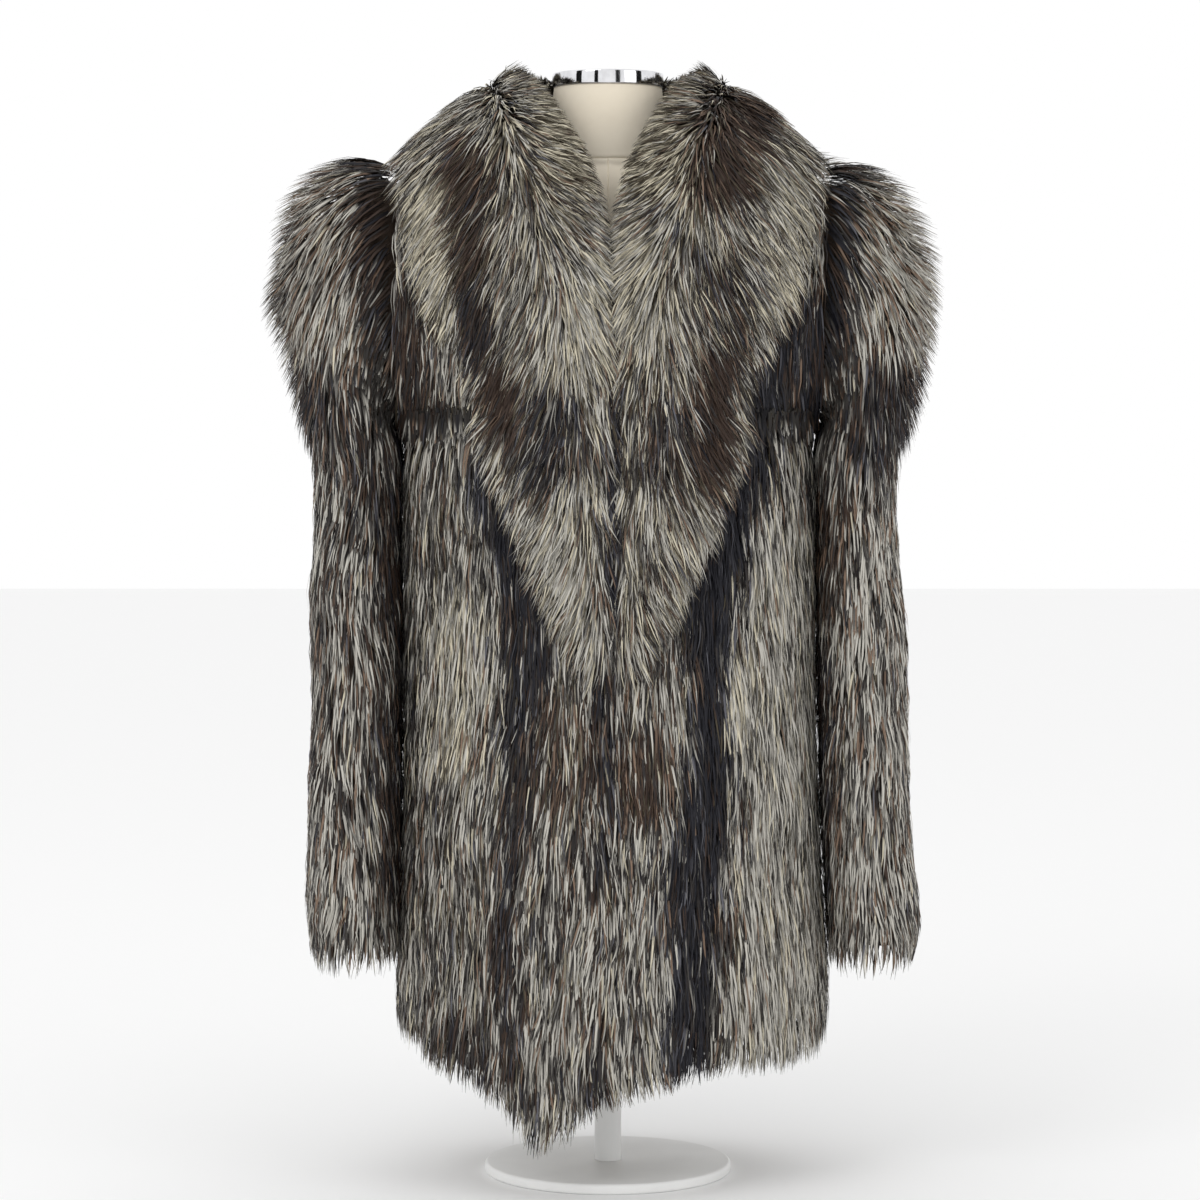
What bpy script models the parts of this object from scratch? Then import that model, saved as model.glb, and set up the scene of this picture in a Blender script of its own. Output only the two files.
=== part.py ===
"""Fox fur coat on a limbless dress form.  Metres, +Z up, the front faces -Y, the wearer's left is +X.

The origin is on the floor, under the middle of the stand.  Every cloth piece is a wall as thick as its
pelt and its pile together, worked out from level tables: the outside of a wall is where the fur ends.
"""
import math
from collections import namedtuple

import bmesh
import bpy
import numpy as np

# ---- driving sizes ---------------------------------------------------------------------------------
SEAM_GAP = 0.0003          # open gap between two sewn pieces
BODY_WALL = 0.024          # pelt and pile of the fronts and the back
SLEEVE_WALL = 0.021        # pelt and pile of the sleeves
HEM_LEVEL = 0.100          # mean height of the hem
PIT_HEIGHT = 0.700         # underarm point
PIT_CLIMB = PIT_HEIGHT - HEM_LEVEL   # share of a panel's climb that lies below the underarm
SHOULDER_TOP = 0.940       # highest point of the armhole
ARMHOLE_X = 0.1925         # the armhole lies in this plane, on each side
ARMHOLE_HALF_DEPTH = 0.085
RING_POWER = 2.3           # roundness of the sleeve rings and of the armhole
SECTION_POWER = 2.2        # roundness of the body's sections
HEM_BLEND = 0.24           # the uneven hem evens out over this share of the climb
COLLAR_LIFT = 0.0020       # the collar lies this far above the panels
COLLAR_EDGE = 0.011        # thickness of the collar at its outer edge
BULGE_PEAK = 0.65          # below 1, the collar is fullest nearer to the neck

NECK_RADIUS = 0.050        # top of the form's neck
FORM_TOP = 1.0085
CAP_HEIGHT = 0.013
CAP_OVERHANG = 0.0015
CAP_BEVEL = 0.0012
FORM_SEGMENTS = 40
FORM_FLOOR = 0.245         # underside of the form
POST_RADIUS = 0.0125
BASE_RADIUS = 0.115
BASE_THICKNESS = 0.010
BASE_BEVEL = 0.003
TURNED_SEGMENTS = 48

# ---- tables ----------------------------------------------------------------------------------------
# Middle line of a front and of the back, from hem (climb 0) to shoulder seam (climb 1).
#   half_gap  distance of the front edge from the closing line; past the V it is the neckline
#   lean      how far the wall's thickness has turned from level (0) to upright (1)
#   turn      how far the section has turned towards the side at its outer end, 1 is a full quarter
#   spread    share of the width in which the section leaves the middle line's depth
#   neck      share of the width that follows the neckline
MiddleLevel = namedtuple("MiddleLevel", "climb z half_gap depth lean turn spread neck")
FRONT_LEVELS = (
    MiddleLevel(0.00, 0.100, 0.00015, 0.166, 0.00, 1.00, 1.00, 0.00),
    MiddleLevel(0.15, 0.250, 0.00015, 0.162, 0.00, 1.00, 1.00, 0.00),
    MiddleLevel(0.30, 0.400, 0.00015, 0.157, 0.00, 1.00, 1.00, 0.00),
    MiddleLevel(0.45, 0.550, 0.00020, 0.154, 0.00, 1.00, 1.00, 0.00),
    MiddleLevel(0.60, 0.700, 0.00250, 0.155, 0.00, 1.00, 1.00, 0.00),
    MiddleLevel(0.70, 0.757, 0.00350, 0.153, 0.04, 0.62, 1.00, 0.00),
    MiddleLevel(0.80, 0.815, 0.00200, 0.148, 0.10, 0.50, 1.00, 0.00),
    MiddleLevel(0.87, 0.868, 0.00700, 0.140, 0.22, 0.50, 1.00, 0.00),
    MiddleLevel(0.93, 0.922, 0.03300, 0.108, 0.50, 0.50, 1.00, 0.00),
    MiddleLevel(0.97, 0.950, 0.05700, 0.060, 0.78, 0.50, 1.00, 0.00),
    MiddleLevel(1.00, 0.965, 0.07200, 0.000, 1.00, 0.50, 1.00, 0.00),
)
BACK_LEVELS = (
    MiddleLevel(0.00, 0.100, 0.0, 0.176, 0.00, 1.00, 1.00, 0.00),
    MiddleLevel(0.15, 0.250, 0.0, 0.166, 0.00, 1.00, 1.00, 0.00),
    MiddleLevel(0.30, 0.400, 0.0, 0.154, 0.00, 1.00, 1.00, 0.00),
    MiddleLevel(0.45, 0.550, 0.0, 0.145, 0.00, 1.00, 1.00, 0.00),
    MiddleLevel(0.60, 0.700, 0.0, 0.147, 0.00, 1.00, 1.00, 0.00),
    MiddleLevel(0.70, 0.758, 0.0, 0.150, 0.00, 0.62, 1.00, 0.00),
    MiddleLevel(0.80, 0.822, 0.0, 0.149, 0.05, 0.50, 1.00, 0.00),
    MiddleLevel(0.87, 0.876, 0.0, 0.139, 0.18, 0.50, 0.95, 0.03),
    MiddleLevel(0.93, 0.930, 0.0, 0.116, 0.42, 0.40, 0.75, 0.14),
    MiddleLevel(0.97, 0.955, 0.0, 0.090, 0.72, 0.25, 0.54, 0.27),
    MiddleLevel(1.00, 0.965, 0.0, 0.066, 1.00, 0.10, 0.374, 0.374),
)
# Half widths of the body at the side seams.
SideLevel = namedtuple("SideLevel", "z wearers_right wearers_left")
SIDE_LEVELS = (
    SideLevel(0.10, 0.1930, 0.2000),
    SideLevel(0.17, 0.1965, 0.2040),
    SideLevel(0.24, 0.1950, 0.2030),
    SideLevel(0.34, 0.1910, 0.1975),
    SideLevel(0.46, 0.1895, 0.1930),
    SideLevel(0.70, 0.1900, 0.1905),
)
# Where the two fronts meet, from hem to V.
CloseLevel = namedtuple("CloseLevel", "z x")
CLOSE_LEVELS = (
    CloseLevel(0.05, -0.0120),
    CloseLevel(0.30, -0.0080),
    CloseLevel(0.52, 0.0030),
    CloseLevel(0.70, 0.0080),
    CloseLevel(0.84, 0.0030),
    CloseLevel(0.92, 0.0000),
)
# How much the hem hangs above its mean height, across each panel from the middle to the side.
HemLevel = namedtuple("HemLevel", "across front_right front_left back")
HEM_LEVELS = (
    HemLevel(0.00, -0.012, -0.006, 0.014),
    HemLevel(0.08, -0.034, 0.004, 0.014),
    HemLevel(0.14, -0.046, 0.010, 0.015),
    HemLevel(0.24, -0.022, 0.017, 0.018),
    HemLevel(0.40, 0.008, 0.024, 0.019),
    HemLevel(0.60, 0.026, 0.022, 0.022),
    HemLevel(0.80, 0.040, 0.028, 0.032),
    HemLevel(1.00, 0.052, 0.050, 0.051),
)
# Largest folds of the body: upright soft troughs that die out above the hem.
Fold = namedtuple("Fold", "side face across width depth top")
FOLDS = (
    Fold(-1, -1, 0.36, 0.085, 0.0085, 0.62),
    Fold(-1, -1, 0.70, 0.070, 0.0050, 0.34),
    Fold(1, -1, 0.30, 0.080, 0.0090, 0.66),
    Fold(1, -1, 0.66, 0.080, 0.0060, 0.40),
    Fold(-1, 1, 0.27, 0.080, 0.0080, 0.50),
    Fold(-1, 1, 0.66, 0.075, 0.0060, 0.36),
    Fold(1, 1, 0.33, 0.080, 0.0070, 0.44),
    Fold(1, 1, 0.70, 0.070, 0.0065, 0.40),
)
# Sleeve head: rings that fan out about the underarm point, from the armhole (0) to level (90 degrees).
FanLevel = namedtuple("FanLevel", "angle reach_right reach_left half_depth")
FAN_LEVELS = (
    FanLevel(0.0, 0.2400, 0.2400, 0.085),
    FanLevel(6.0, 0.2460, 0.2380, 0.088),
    FanLevel(12.0, 0.2400, 0.2270, 0.092),
    FanLevel(19.0, 0.2270, 0.2050, 0.096),
    FanLevel(26.0, 0.2080, 0.1830, 0.099),
    FanLevel(33.0, 0.1900, 0.1670, 0.101),
    FanLevel(39.0, 0.1740, 0.1500, 0.101),
    FanLevel(45.0, 0.1430, 0.1270, 0.099),
    FanLevel(52.0, 0.1130, 0.1060, 0.096),
    FanLevel(64.0, 0.0940, 0.0870, 0.092),
    FanLevel(90.0, 0.0800, 0.0735, 0.088),
)
# Sleeve below the underarm: level rings down to the cuff.
CuffLevel = namedtuple("CuffLevel", "z inner_right outer_right inner_left outer_left half_depth middle_y wall")
CUFF_LEVELS = (
    CuffLevel(0.700, 0.1928, 0.2725, 0.1928, 0.2660, 0.088, 0.000, SLEEVE_WALL),
    CuffLevel(0.650, 0.1930, 0.2700, 0.1935, 0.2650, 0.086, -0.001, SLEEVE_WALL),
    CuffLevel(0.600, 0.1928, 0.2735, 0.1945, 0.2675, 0.086, -0.003, SLEEVE_WALL),
    CuffLevel(0.560, 0.1926, 0.2780, 0.1950, 0.2730, 0.087, -0.005, SLEEVE_WALL),
    CuffLevel(0.500, 0.1926, 0.2755, 0.1958, 0.2780, 0.088, -0.008, SLEEVE_WALL),
    CuffLevel(0.440, 0.1928, 0.2745, 0.1975, 0.2795, 0.087, -0.011, SLEEVE_WALL),
    CuffLevel(0.380, 0.1932, 0.2780, 0.1995, 0.2815, 0.086, -0.014, SLEEVE_WALL),
    CuffLevel(0.315, 0.1945, 0.2810, 0.2030, 0.2890, 0.086, -0.016, 0.019),
    CuffLevel(0.265, 0.1970, 0.2790, 0.2060, 0.2940, 0.085, -0.018, 0.015),
    CuffLevel(0.232, 0.1995, 0.2700, 0.2085, 0.2880, 0.081, -0.019, 0.011),
    CuffLevel(0.214, 0.2050, 0.2590, 0.2135, 0.2780, 0.074, -0.019, 0.007),
)
# Collar stations, from the centre back seam round the neck and down the front edge.  The foot line of a
# station crosses the panel from the neckline (in) to the collar's outer edge (out); roll_* is the way
# from the neckline to the edge that the collar rolls over; bulge is its fullness above the straight.
Station = namedtuple("Station", "place in_across in_climb out_across out_climb roll_x roll_y roll_z bulge")
BACK_STATIONS = (
    Station(0, 0.000, 1.00, 0.00, 0.850, 0.000, 0.010, 0.055, 0.016),
    Station(1, 0.120, 1.00, 0.20, 0.855, 0.004, 0.010, 0.055, 0.017),
    Station(2, 0.240, 1.00, 0.42, 0.870, 0.004, 0.008, 0.054, 0.019),
    Station(3, 0.330, 1.00, 0.62, 0.895, 0.002, 0.006, 0.053, 0.020),
    Station(4, 0.374, 1.00, 0.80, 0.945, 0.000, 0.004, 0.051, 0.020),
    Station(5, 0.390, 1.00, 0.90, 1.000, -0.002, -0.002, 0.049, 0.019),
)
FRONT_STATIONS = (
    Station(0, 0.000, 0.995, 0.90, 0.985, -0.002, -0.006, 0.047, 0.018),
    Station(1, 0.000, 0.970, 0.90, 0.940, 0.000, 0.004, 0.048, 0.020),
    Station(2, 0.000, 0.935, 0.88, 0.880, 0.004, 0.010, 0.048, 0.022),
    Station(3, 0.000, 0.900, 0.82, 0.825, 0.004, 0.004, 0.042, 0.021),
    Station(4, 0.000, 0.865, 0.67, 0.775, 0.003, -0.010, 0.026, 0.019),
    Station(5, 0.000, 0.820, 0.54, 0.730, 0.001, -0.020, 0.010, 0.016),
    Station(6, 0.000, 0.760, 0.47, 0.675, 0.000, -0.022, 0.002, 0.013),
    Station(7, 0.000, 0.690, 0.385, 0.620, 0.000, -0.021, 0.000, 0.010),
    Station(8, 0.000, 0.610, 0.305, 0.555, 0.000, -0.019, 0.000, 0.008),
    Station(9, 0.000, 0.530, 0.205, 0.490, 0.000, -0.016, 0.000, 0.006),
    Station(10, 0.000, 0.460, 0.110, 0.440, 0.000, -0.013, 0.000, 0.004),
    Station(11, 0.000, 0.410, 0.040, 0.400, 0.000, -0.010, 0.000, 0.002),
)
# The form: level rings from its cut underside to the top of its neck.
FormLevel = namedtuple("FormLevel", "z half_width front back power")
FORM_LEVELS = (
    FormLevel(0.245, 0.146, 0.100, 0.102, 2.2),
    FormLevel(0.300, 0.155, 0.106, 0.110, 2.2),
    FormLevel(0.370, 0.154, 0.106, 0.112, 2.2),
    FormLevel(0.460, 0.134, 0.097, 0.094, 2.2),
    FormLevel(0.550, 0.112, 0.086, 0.076, 2.2),
    FormLevel(0.620, 0.121, 0.098, 0.080, 2.2),
    FormLevel(0.690, 0.138, 0.121, 0.090, 2.2),
    FormLevel(0.750, 0.143, 0.117, 0.098, 2.2),
    FormLevel(0.810, 0.147, 0.100, 0.101, 2.1),
    FormLevel(0.860, 0.154, 0.087, 0.094, 1.9),
    FormLevel(0.890, 0.157, 0.078, 0.084, 1.7),
    FormLevel(0.910, 0.152, 0.071, 0.077, 1.5),
    FormLevel(0.9225, 0.138, 0.064, 0.070, 1.35),
    FormLevel(0.9295, 0.106, 0.058, 0.064, 1.35),
    FormLevel(0.9350, 0.075, 0.053, 0.060, 1.5),
    FormLevel(0.9500, 0.057, 0.052, 0.055, 1.9),
    FormLevel(0.9750, 0.053, 0.052, 0.054, 2.0),
    FormLevel(1.0085, 0.050, 0.050, 0.050, 2.0),
)

# ---- mesh counts -----------------------------------------------------------------------------------
LOW_ROWS = 13
HIGH_ROWS = 11
QUARTER_COLUMNS = 10
SLEEVE_COLUMNS = 18
COLLAR_COLUMNS = 8
COLLAR_ROWS = 2            # rows of points from one station to the next

# ---- finishes --------------------------------------------------------------------------------------
Finish = namedtuple("Finish", "colour roughness metallic")
FINISHES = {
    "silver_fur": Finish((0.24, 0.22, 0.19), 0.75, 0.0),
    "linen": Finish((0.80, 0.70, 0.56), 0.85, 0.0),
    "chrome": Finish((0.80, 0.80, 0.82), 0.12, 1.0),
    "painted_steel": Finish((0.86, 0.86, 0.85), 0.45, 0.0),
}


def clear_scene():
    for item in list(bpy.data.objects):
        bpy.data.objects.remove(item, do_unlink=True)


def finish_material(name):
    material = bpy.data.materials.get(name)
    if material is None:
        finish = FINISHES[name]
        material = bpy.data.materials.new(name)
        material.use_nodes = True
        shader = material.node_tree.nodes["Principled BSDF"]
        shader.inputs["Base Color"].default_value = (*finish.colour, 1.0)
        shader.inputs["Roughness"].default_value = finish.roughness
        shader.inputs["Metallic"].default_value = finish.metallic
    return material


def column(table, name):
    return np.array([getattr(row, name) for row in table])


def smooth(table, along, name, at):
    """Value of a table's column at a place along another column, on a smooth curve through its rows.

    The curve never swings past its rows: its slope is zero at each of their turning points.
    """
    knots = column(table, along)
    values = column(table, name)
    secants = np.diff(values) / np.diff(knots)
    slopes = np.zeros(len(knots))
    joined = secants[:-1] * secants[1:]
    slopes[1:-1] = np.where(joined > 0, 2 * joined / (secants[:-1] + secants[1:] + 1e-12), 0.0)
    slopes[0] = secants[0]
    slopes[-1] = secants[-1]
    place = np.clip(at, knots[0], knots[-1])
    start = np.clip(np.searchsorted(knots, place, side="right") - 1, 0, len(knots) - 2)
    step = knots[start + 1] - knots[start]
    share = (place - knots[start]) / step
    rest = 1.0 - share
    return (
        (1.0 + 2.0 * share) * rest**2 * values[start]
        + share * rest**2 * step * slopes[start]
        + share**2 * (3.0 - 2.0 * share) * values[start + 1]
        - share**2 * rest * step * slopes[start + 1]
    )


def signed_power(value, power):
    return np.sign(value) * np.abs(value) ** power


def armhole(angle, inset):
    """Depth and height on the armhole, its angle measured from the shoulder; inset goes into the wall."""
    half_height = (SHOULDER_TOP - PIT_HEIGHT) / 2
    rounding = 2.0 / RING_POWER
    depth = (ARMHOLE_HALF_DEPTH - inset) * signed_power(np.sin(angle), rounding)
    rise = (half_height - inset) * signed_power(np.cos(angle), rounding)
    return depth, PIT_HEIGHT + half_height + rise


def fold_depth(side, face, across, climb):
    total = np.zeros(np.broadcast(across, climb).shape)
    for fold in FOLDS:
        if fold.side == side and fold.face == face:
            trough = np.exp(-(((across - fold.across) / fold.width) ** 2))
            total = total + fold.depth * trough * np.clip(1.0 - climb / fold.top, 0.0, 1.0) ** 1.3
    return total


def body_points(side, face, across, climb, inset):
    """Points of one quarter of the body: side -1 or 1, face -1 (front) or 1 (back).

    across runs from the middle line (0) to the side (1), climb from the hem (0) to the shoulder (1).
    """
    across, climb = np.broadcast_arrays(np.asarray(across, float), np.asarray(climb, float))
    levels = FRONT_LEVELS if face < 0 else BACK_LEVELS
    height = smooth(levels, "climb", "z", climb)
    lean = smooth(levels, "climb", "lean", climb) * math.pi / 2
    turn = np.clip(smooth(levels, "climb", "turn", climb), 0.05, 1.0) * math.pi / 2
    spread = smooth(levels, "climb", "spread", climb)
    neck = np.clip(smooth(levels, "climb", "neck", climb), 0.0, 0.9)
    depth = smooth(levels, "climb", "depth", climb)
    half_gap = smooth(levels, "climb", "half_gap", climb)
    panel = "back" if face > 0 else ("front_left" if side > 0 else "front_right")
    hem_share = np.clip(1.0 - climb / HEM_BLEND, 0.0, 1.0) ** 2
    edge_height = height + hem_share * smooth(HEM_LEVELS, "across", panel, 0.0)
    closing = smooth(CLOSE_LEVELS, "z", "x", edge_height) if face < 0 else 0.0
    middle_x = closing + side * half_gap
    middle_depth = np.maximum(depth - inset * np.cos(lean), SEAM_GAP / 2)
    middle_z = height - inset * np.sin(lean)

    width_name = "wearers_left" if side > 0 else "wearers_right"
    below = climb <= PIT_CLIMB
    past_pit = np.clip((climb - PIT_CLIMB) / (1.0 - PIT_CLIMB), 0.0, 1.0)
    hole_depth, hole_z = armhole(math.pi * (1.0 - past_pit), inset)
    side_x = np.where(below, smooth(SIDE_LEVELS, "z", width_name, height) - inset, ARMHOLE_X)
    side_depth = np.where(below, 0.0, hole_depth) + SEAM_GAP / 2
    side_z = np.where(below, middle_z, hole_z)

    rounding = 2.0 / SECTION_POWER
    swing = across * turn
    round_x = np.sin(swing) ** rounding / np.sin(turn) ** rounding
    narrow = np.clip(across / spread, 0.0, 1.0) * turn
    round_y = (np.cos(narrow) - np.cos(turn)) / (1.0 - np.cos(turn))
    round_y = np.where(turn > 1.5, np.abs(np.cos(narrow)) ** rounding, round_y)
    fall = np.clip((across - neck) / (1.0 - neck), 0.0, 1.0)

    x = middle_x + (side * side_x - middle_x) * round_x
    y = face * (side_depth + (middle_depth - side_depth) * round_y)
    z = middle_z + (side_z - middle_z) * fall

    z = z + hem_share * smooth(HEM_LEVELS, "across", panel, across)
    trough = fold_depth(side, face, across, climb)
    x = x - side * trough * np.sin(across * math.pi / 2)
    y = y - face * trough * np.cos(across * math.pi / 2)
    return np.stack([x, y, z], axis=-1)


def panel_climbs():
    low = np.linspace(0.0, PIT_CLIMB, LOW_ROWS + 1)
    high = np.linspace(PIT_CLIMB, 1.0, HIGH_ROWS + 1)
    return np.concatenate([low, high[1:]])


def ring_points(side, foot, direction, reach, half_depth, middle_y, inset):
    """A closed sleeve ring that starts at its foot and reaches out along a direction in the XZ plane."""
    angle = np.linspace(0.0, 2.0 * math.pi, SLEEVE_COLUMNS, endpoint=False)
    rounding = 2.0 / RING_POWER
    along = reach / 2 + (reach / 2 - inset) * signed_power(np.cos(angle), rounding)
    x = side * (foot[0] + direction[0] * along)
    y = middle_y + (half_depth - inset) * signed_power(np.sin(angle), rounding)
    z = foot[1] + direction[1] * along
    return np.stack([x, y, z], axis=-1)


def sleeve_rings(side, share):
    """Rings of a sleeve from armhole to cuff, at a share of the way into its wall."""
    hand = "left" if side > 0 else "right"
    rings = []
    for level in FAN_LEVELS:
        angle = math.radians(level.angle)
        direction = (math.sin(angle), math.cos(angle))
        foot = (ARMHOLE_X + SEAM_GAP, PIT_HEIGHT)
        reach = getattr(level, "reach_" + hand)
        inset = share * SLEEVE_WALL
        rings.append(ring_points(side, foot, direction, reach, level.half_depth, 0.0, inset))
    for level in CUFF_LEVELS[1:]:
        inner = getattr(level, "inner_" + hand)
        reach = getattr(level, "outer_" + hand) - inner
        foot = (inner, level.z)
        inset = share * level.wall
        rings.append(ring_points(side, foot, (1.0, 0.0), reach, level.half_depth, level.middle_y, inset))
    return np.array(rings)


def collar_grids(side):
    """Underside and top of one half of the collar, a row of points for each station."""
    share = np.linspace(0.0, 1.0, COLLAR_COLUMNS + 1)
    under = []
    top = []
    for face, table in ((1, BACK_STATIONS), (-1, FRONT_STATIONS)):
        for place in np.linspace(0.0, len(table) - 1, COLLAR_ROWS * (len(table) - 1) + 1):
            station = Station(*(float(smooth(table, "place", name, place)) for name in Station._fields))
            across = station.in_across + (station.out_across - station.in_across) * share
            climb = station.in_climb + (station.out_climb - station.in_climb) * share
            foot = body_points(side, face, across, climb, 0.0)
            outward = foot - body_points(side, face, across, climb, BODY_WALL)
            outward /= np.linalg.norm(outward, axis=-1, keepdims=True)
            roll = foot[0] + np.array([side * station.roll_x, station.roll_y, station.roll_z])
            edge = foot[-1] + outward[-1] * COLLAR_EDGE
            fullness = station.bulge * np.sin(math.pi * share**BULGE_PEAK)
            under.append(foot + outward * COLLAR_LIFT)
            top.append(roll + (edge - roll) * share[:, None] + outward * fullness[:, None])
    under = np.array(under)
    top = np.array(top)
    for grid in (under, top):
        grid[0, :, 0] = side * SEAM_GAP / 2
    return under, top


def wall_object(name, outer, inner, finish_name, closed=False):
    """One closed wall between two grids of points (rows by columns); closed joins first and last column."""
    rows, columns = outer.shape[:2]
    mesh = bmesh.new()
    skins = [[[mesh.verts.new(point) for point in row] for row in grid] for grid in (outer, inner)]
    steps = columns if closed else columns - 1
    for skin in skins:
        for row in range(rows - 1):
            for step in range(steps):
                after = (step + 1) % columns
                mesh.faces.new((skin[row][step], skin[row][after], skin[row + 1][after], skin[row + 1][step]))
    rims = [([(row, step), (row, (step + 1) % columns)]) for row in (0, rows - 1) for step in range(steps)]
    if not closed:
        rims += [[(row, step), (row + 1, step)] for step in (0, columns - 1) for row in range(rows - 1)]
    for (row_a, step_a), (row_b, step_b) in rims:
        mesh.faces.new((
            skins[0][row_a][step_a], skins[0][row_b][step_b],
            skins[1][row_b][step_b], skins[1][row_a][step_a],
        ))
    return finish_object(name, mesh, finish_name)


def finish_object(name, mesh, finish_name):
    bmesh.ops.recalc_face_normals(mesh, faces=mesh.faces)
    bmesh.ops.triangulate(mesh, faces=mesh.faces)
    data = bpy.data.meshes.new(name)
    mesh.to_mesh(data)
    mesh.free()
    data.materials.append(finish_material(finish_name))
    item = bpy.data.objects.new(name, data)
    bpy.context.scene.collection.objects.link(item)
    data.shade_smooth()
    return item


def make_front(name, side):
    across = np.linspace(0.0, 1.0, QUARTER_COLUMNS + 1)[None, :]
    climb = panel_climbs()[:, None]
    outer = body_points(side, -1, across, climb, 0.0)
    inner = body_points(side, -1, across, climb, BODY_WALL)
    return wall_object(name, outer, inner, "silver_fur")


def make_back(name):
    across = np.linspace(1.0, 0.0, QUARTER_COLUMNS + 1)[None, :]
    climb = panel_climbs()[:, None]
    skins = []
    for inset in (0.0, BODY_WALL):
        right = body_points(-1, 1, across, climb, inset)
        left = body_points(1, 1, across[:, ::-1], climb, inset)
        skins.append(np.concatenate([right, left[:, 1:]], axis=1))
    return wall_object(name, skins[0], skins[1], "silver_fur")


def make_sleeve(name, side):
    return wall_object(name, sleeve_rings(side, 0.0), sleeve_rings(side, 1.0), "silver_fur", True)


def make_collar(name, side):
    under, top = collar_grids(side)
    return wall_object(name, top, under, "silver_fur")


def make_form(name):
    angle = np.linspace(0.0, 2.0 * math.pi, FORM_SEGMENTS, endpoint=False)
    mesh = bmesh.new()
    rings = []
    for level in FORM_LEVELS:
        rounding = 2.0 / level.power
        half_depth = np.where(np.sin(angle) < 0, level.front, level.back)
        x = level.half_width * signed_power(np.cos(angle), rounding)
        y = half_depth * signed_power(np.sin(angle), rounding)
        rings.append([mesh.verts.new((*point, level.z)) for point in zip(x, y)])
    for lower, upper in zip(rings, rings[1:]):
        for step in range(FORM_SEGMENTS):
            after = (step + 1) % FORM_SEGMENTS
            mesh.faces.new((lower[step], lower[after], upper[after], upper[step]))
    mesh.faces.new(rings[0])
    mesh.faces.new(rings[-1])
    return finish_object(name, mesh, "linen")


def make_turned(name, radius, low, high, bevel, finish_name):
    """A plain turned disc or post with its two outer edges bevelled."""
    mesh = bmesh.new()
    bmesh.ops.create_cone(
        mesh, cap_ends=True, segments=TURNED_SEGMENTS, radius1=radius, radius2=radius, depth=high - low
    )
    bmesh.ops.translate(mesh, verts=mesh.verts, vec=(0.0, 0.0, (low + high) / 2))
    if bevel > 0:
        rims = [edge for edge in mesh.edges if abs(edge.verts[0].co.z - edge.verts[1].co.z) < bevel]
        bmesh.ops.bevel(mesh, geom=rims, offset=bevel, segments=2, profile=0.5, affect="EDGES")
    return finish_object(name, mesh, finish_name)


def main():
    clear_scene()
    make_front("front_right", -1)
    make_front("front_left", 1)
    make_back("back")
    make_sleeve("sleeve_right", -1)
    make_sleeve("sleeve_left", 1)
    make_collar("collar_right", -1)
    make_collar("collar_left", 1)
    make_form("form_torso")
    cap_low = FORM_TOP + SEAM_GAP
    cap_radius = NECK_RADIUS + CAP_OVERHANG
    make_turned("neck_cap", cap_radius, cap_low, cap_low + CAP_HEIGHT, CAP_BEVEL, "chrome")
    make_turned("stand_base", BASE_RADIUS, 0.0, BASE_THICKNESS, BASE_BEVEL, "painted_steel")
    post_low = BASE_THICKNESS + SEAM_GAP
    make_turned("stand_post", POST_RADIUS, post_low, FORM_FLOOR - SEAM_GAP, 0.0, "painted_steel")


main()
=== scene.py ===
"""Silver fox coat on a limbless dress form: the finish of every surface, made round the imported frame."""
import math
from collections import namedtuple

import bmesh
import bpy
import numpy as np
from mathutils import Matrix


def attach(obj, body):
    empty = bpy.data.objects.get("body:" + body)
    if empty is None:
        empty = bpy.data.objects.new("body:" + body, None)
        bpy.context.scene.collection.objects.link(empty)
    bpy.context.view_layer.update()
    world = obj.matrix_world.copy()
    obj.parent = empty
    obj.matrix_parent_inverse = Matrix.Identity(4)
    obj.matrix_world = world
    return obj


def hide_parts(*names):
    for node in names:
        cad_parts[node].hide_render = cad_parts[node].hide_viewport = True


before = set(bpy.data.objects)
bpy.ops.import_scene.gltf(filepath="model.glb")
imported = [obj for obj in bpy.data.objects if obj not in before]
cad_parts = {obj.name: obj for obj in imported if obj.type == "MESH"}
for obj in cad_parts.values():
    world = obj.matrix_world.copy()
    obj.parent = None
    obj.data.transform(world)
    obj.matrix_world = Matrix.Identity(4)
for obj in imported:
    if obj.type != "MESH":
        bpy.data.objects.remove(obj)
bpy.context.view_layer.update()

bl_info = {
    "name": "Fox coat on a dress form",
    "version": (1, 0, 0),
    "blender": (4, 5, 0),
    "location": "View3D > Sidebar > Fox coat",
    "description": "Makes the fur, the pelts, the form and the stand of a fox coat round its packed frame",
    "category": "Object",
}

# ---- driving sizes ---------------------------------------------------------------------------------
SEAM_GAP = 0.0003          # open gap between two sewn pieces
BODY_WALL = 0.024          # pelt and pile of the fronts and the back
SLEEVE_WALL = 0.021        # pelt and pile of the sleeves
HEM_LEVEL = 0.100          # mean height of the hem
PIT_HEIGHT = 0.700         # underarm point
PIT_CLIMB = PIT_HEIGHT - HEM_LEVEL   # share of a panel's climb that lies below the underarm
SHOULDER_TOP = 0.940       # highest point of the armhole
ARMHOLE_X = 0.1925         # the armhole lies in this plane, on each side
ARMHOLE_HALF_DEPTH = 0.085
RING_POWER = 2.3           # roundness of the sleeve rings and of the armhole
SECTION_POWER = 2.2        # roundness of the body's sections
HEM_BLEND = 0.24           # the uneven hem evens out over this share of the climb
COLLAR_LIFT = 0.0020       # the collar lies this far above the panels
COLLAR_EDGE = 0.011        # thickness of the collar at its outer edge
BULGE_PEAK = 0.65          # below 1, the collar is fullest nearer to the neck

NECK_RADIUS = 0.050        # top of the form's neck
FORM_TOP = 1.0085
CAP_HEIGHT = 0.013
CAP_OVERHANG = 0.0015
CAP_BEVEL = 0.0012
FORM_FLOOR = 0.245         # underside of the form
POST_RADIUS = 0.0125
BASE_RADIUS = 0.115
BASE_THICKNESS = 0.010
BASE_BEVEL = 0.003

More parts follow.
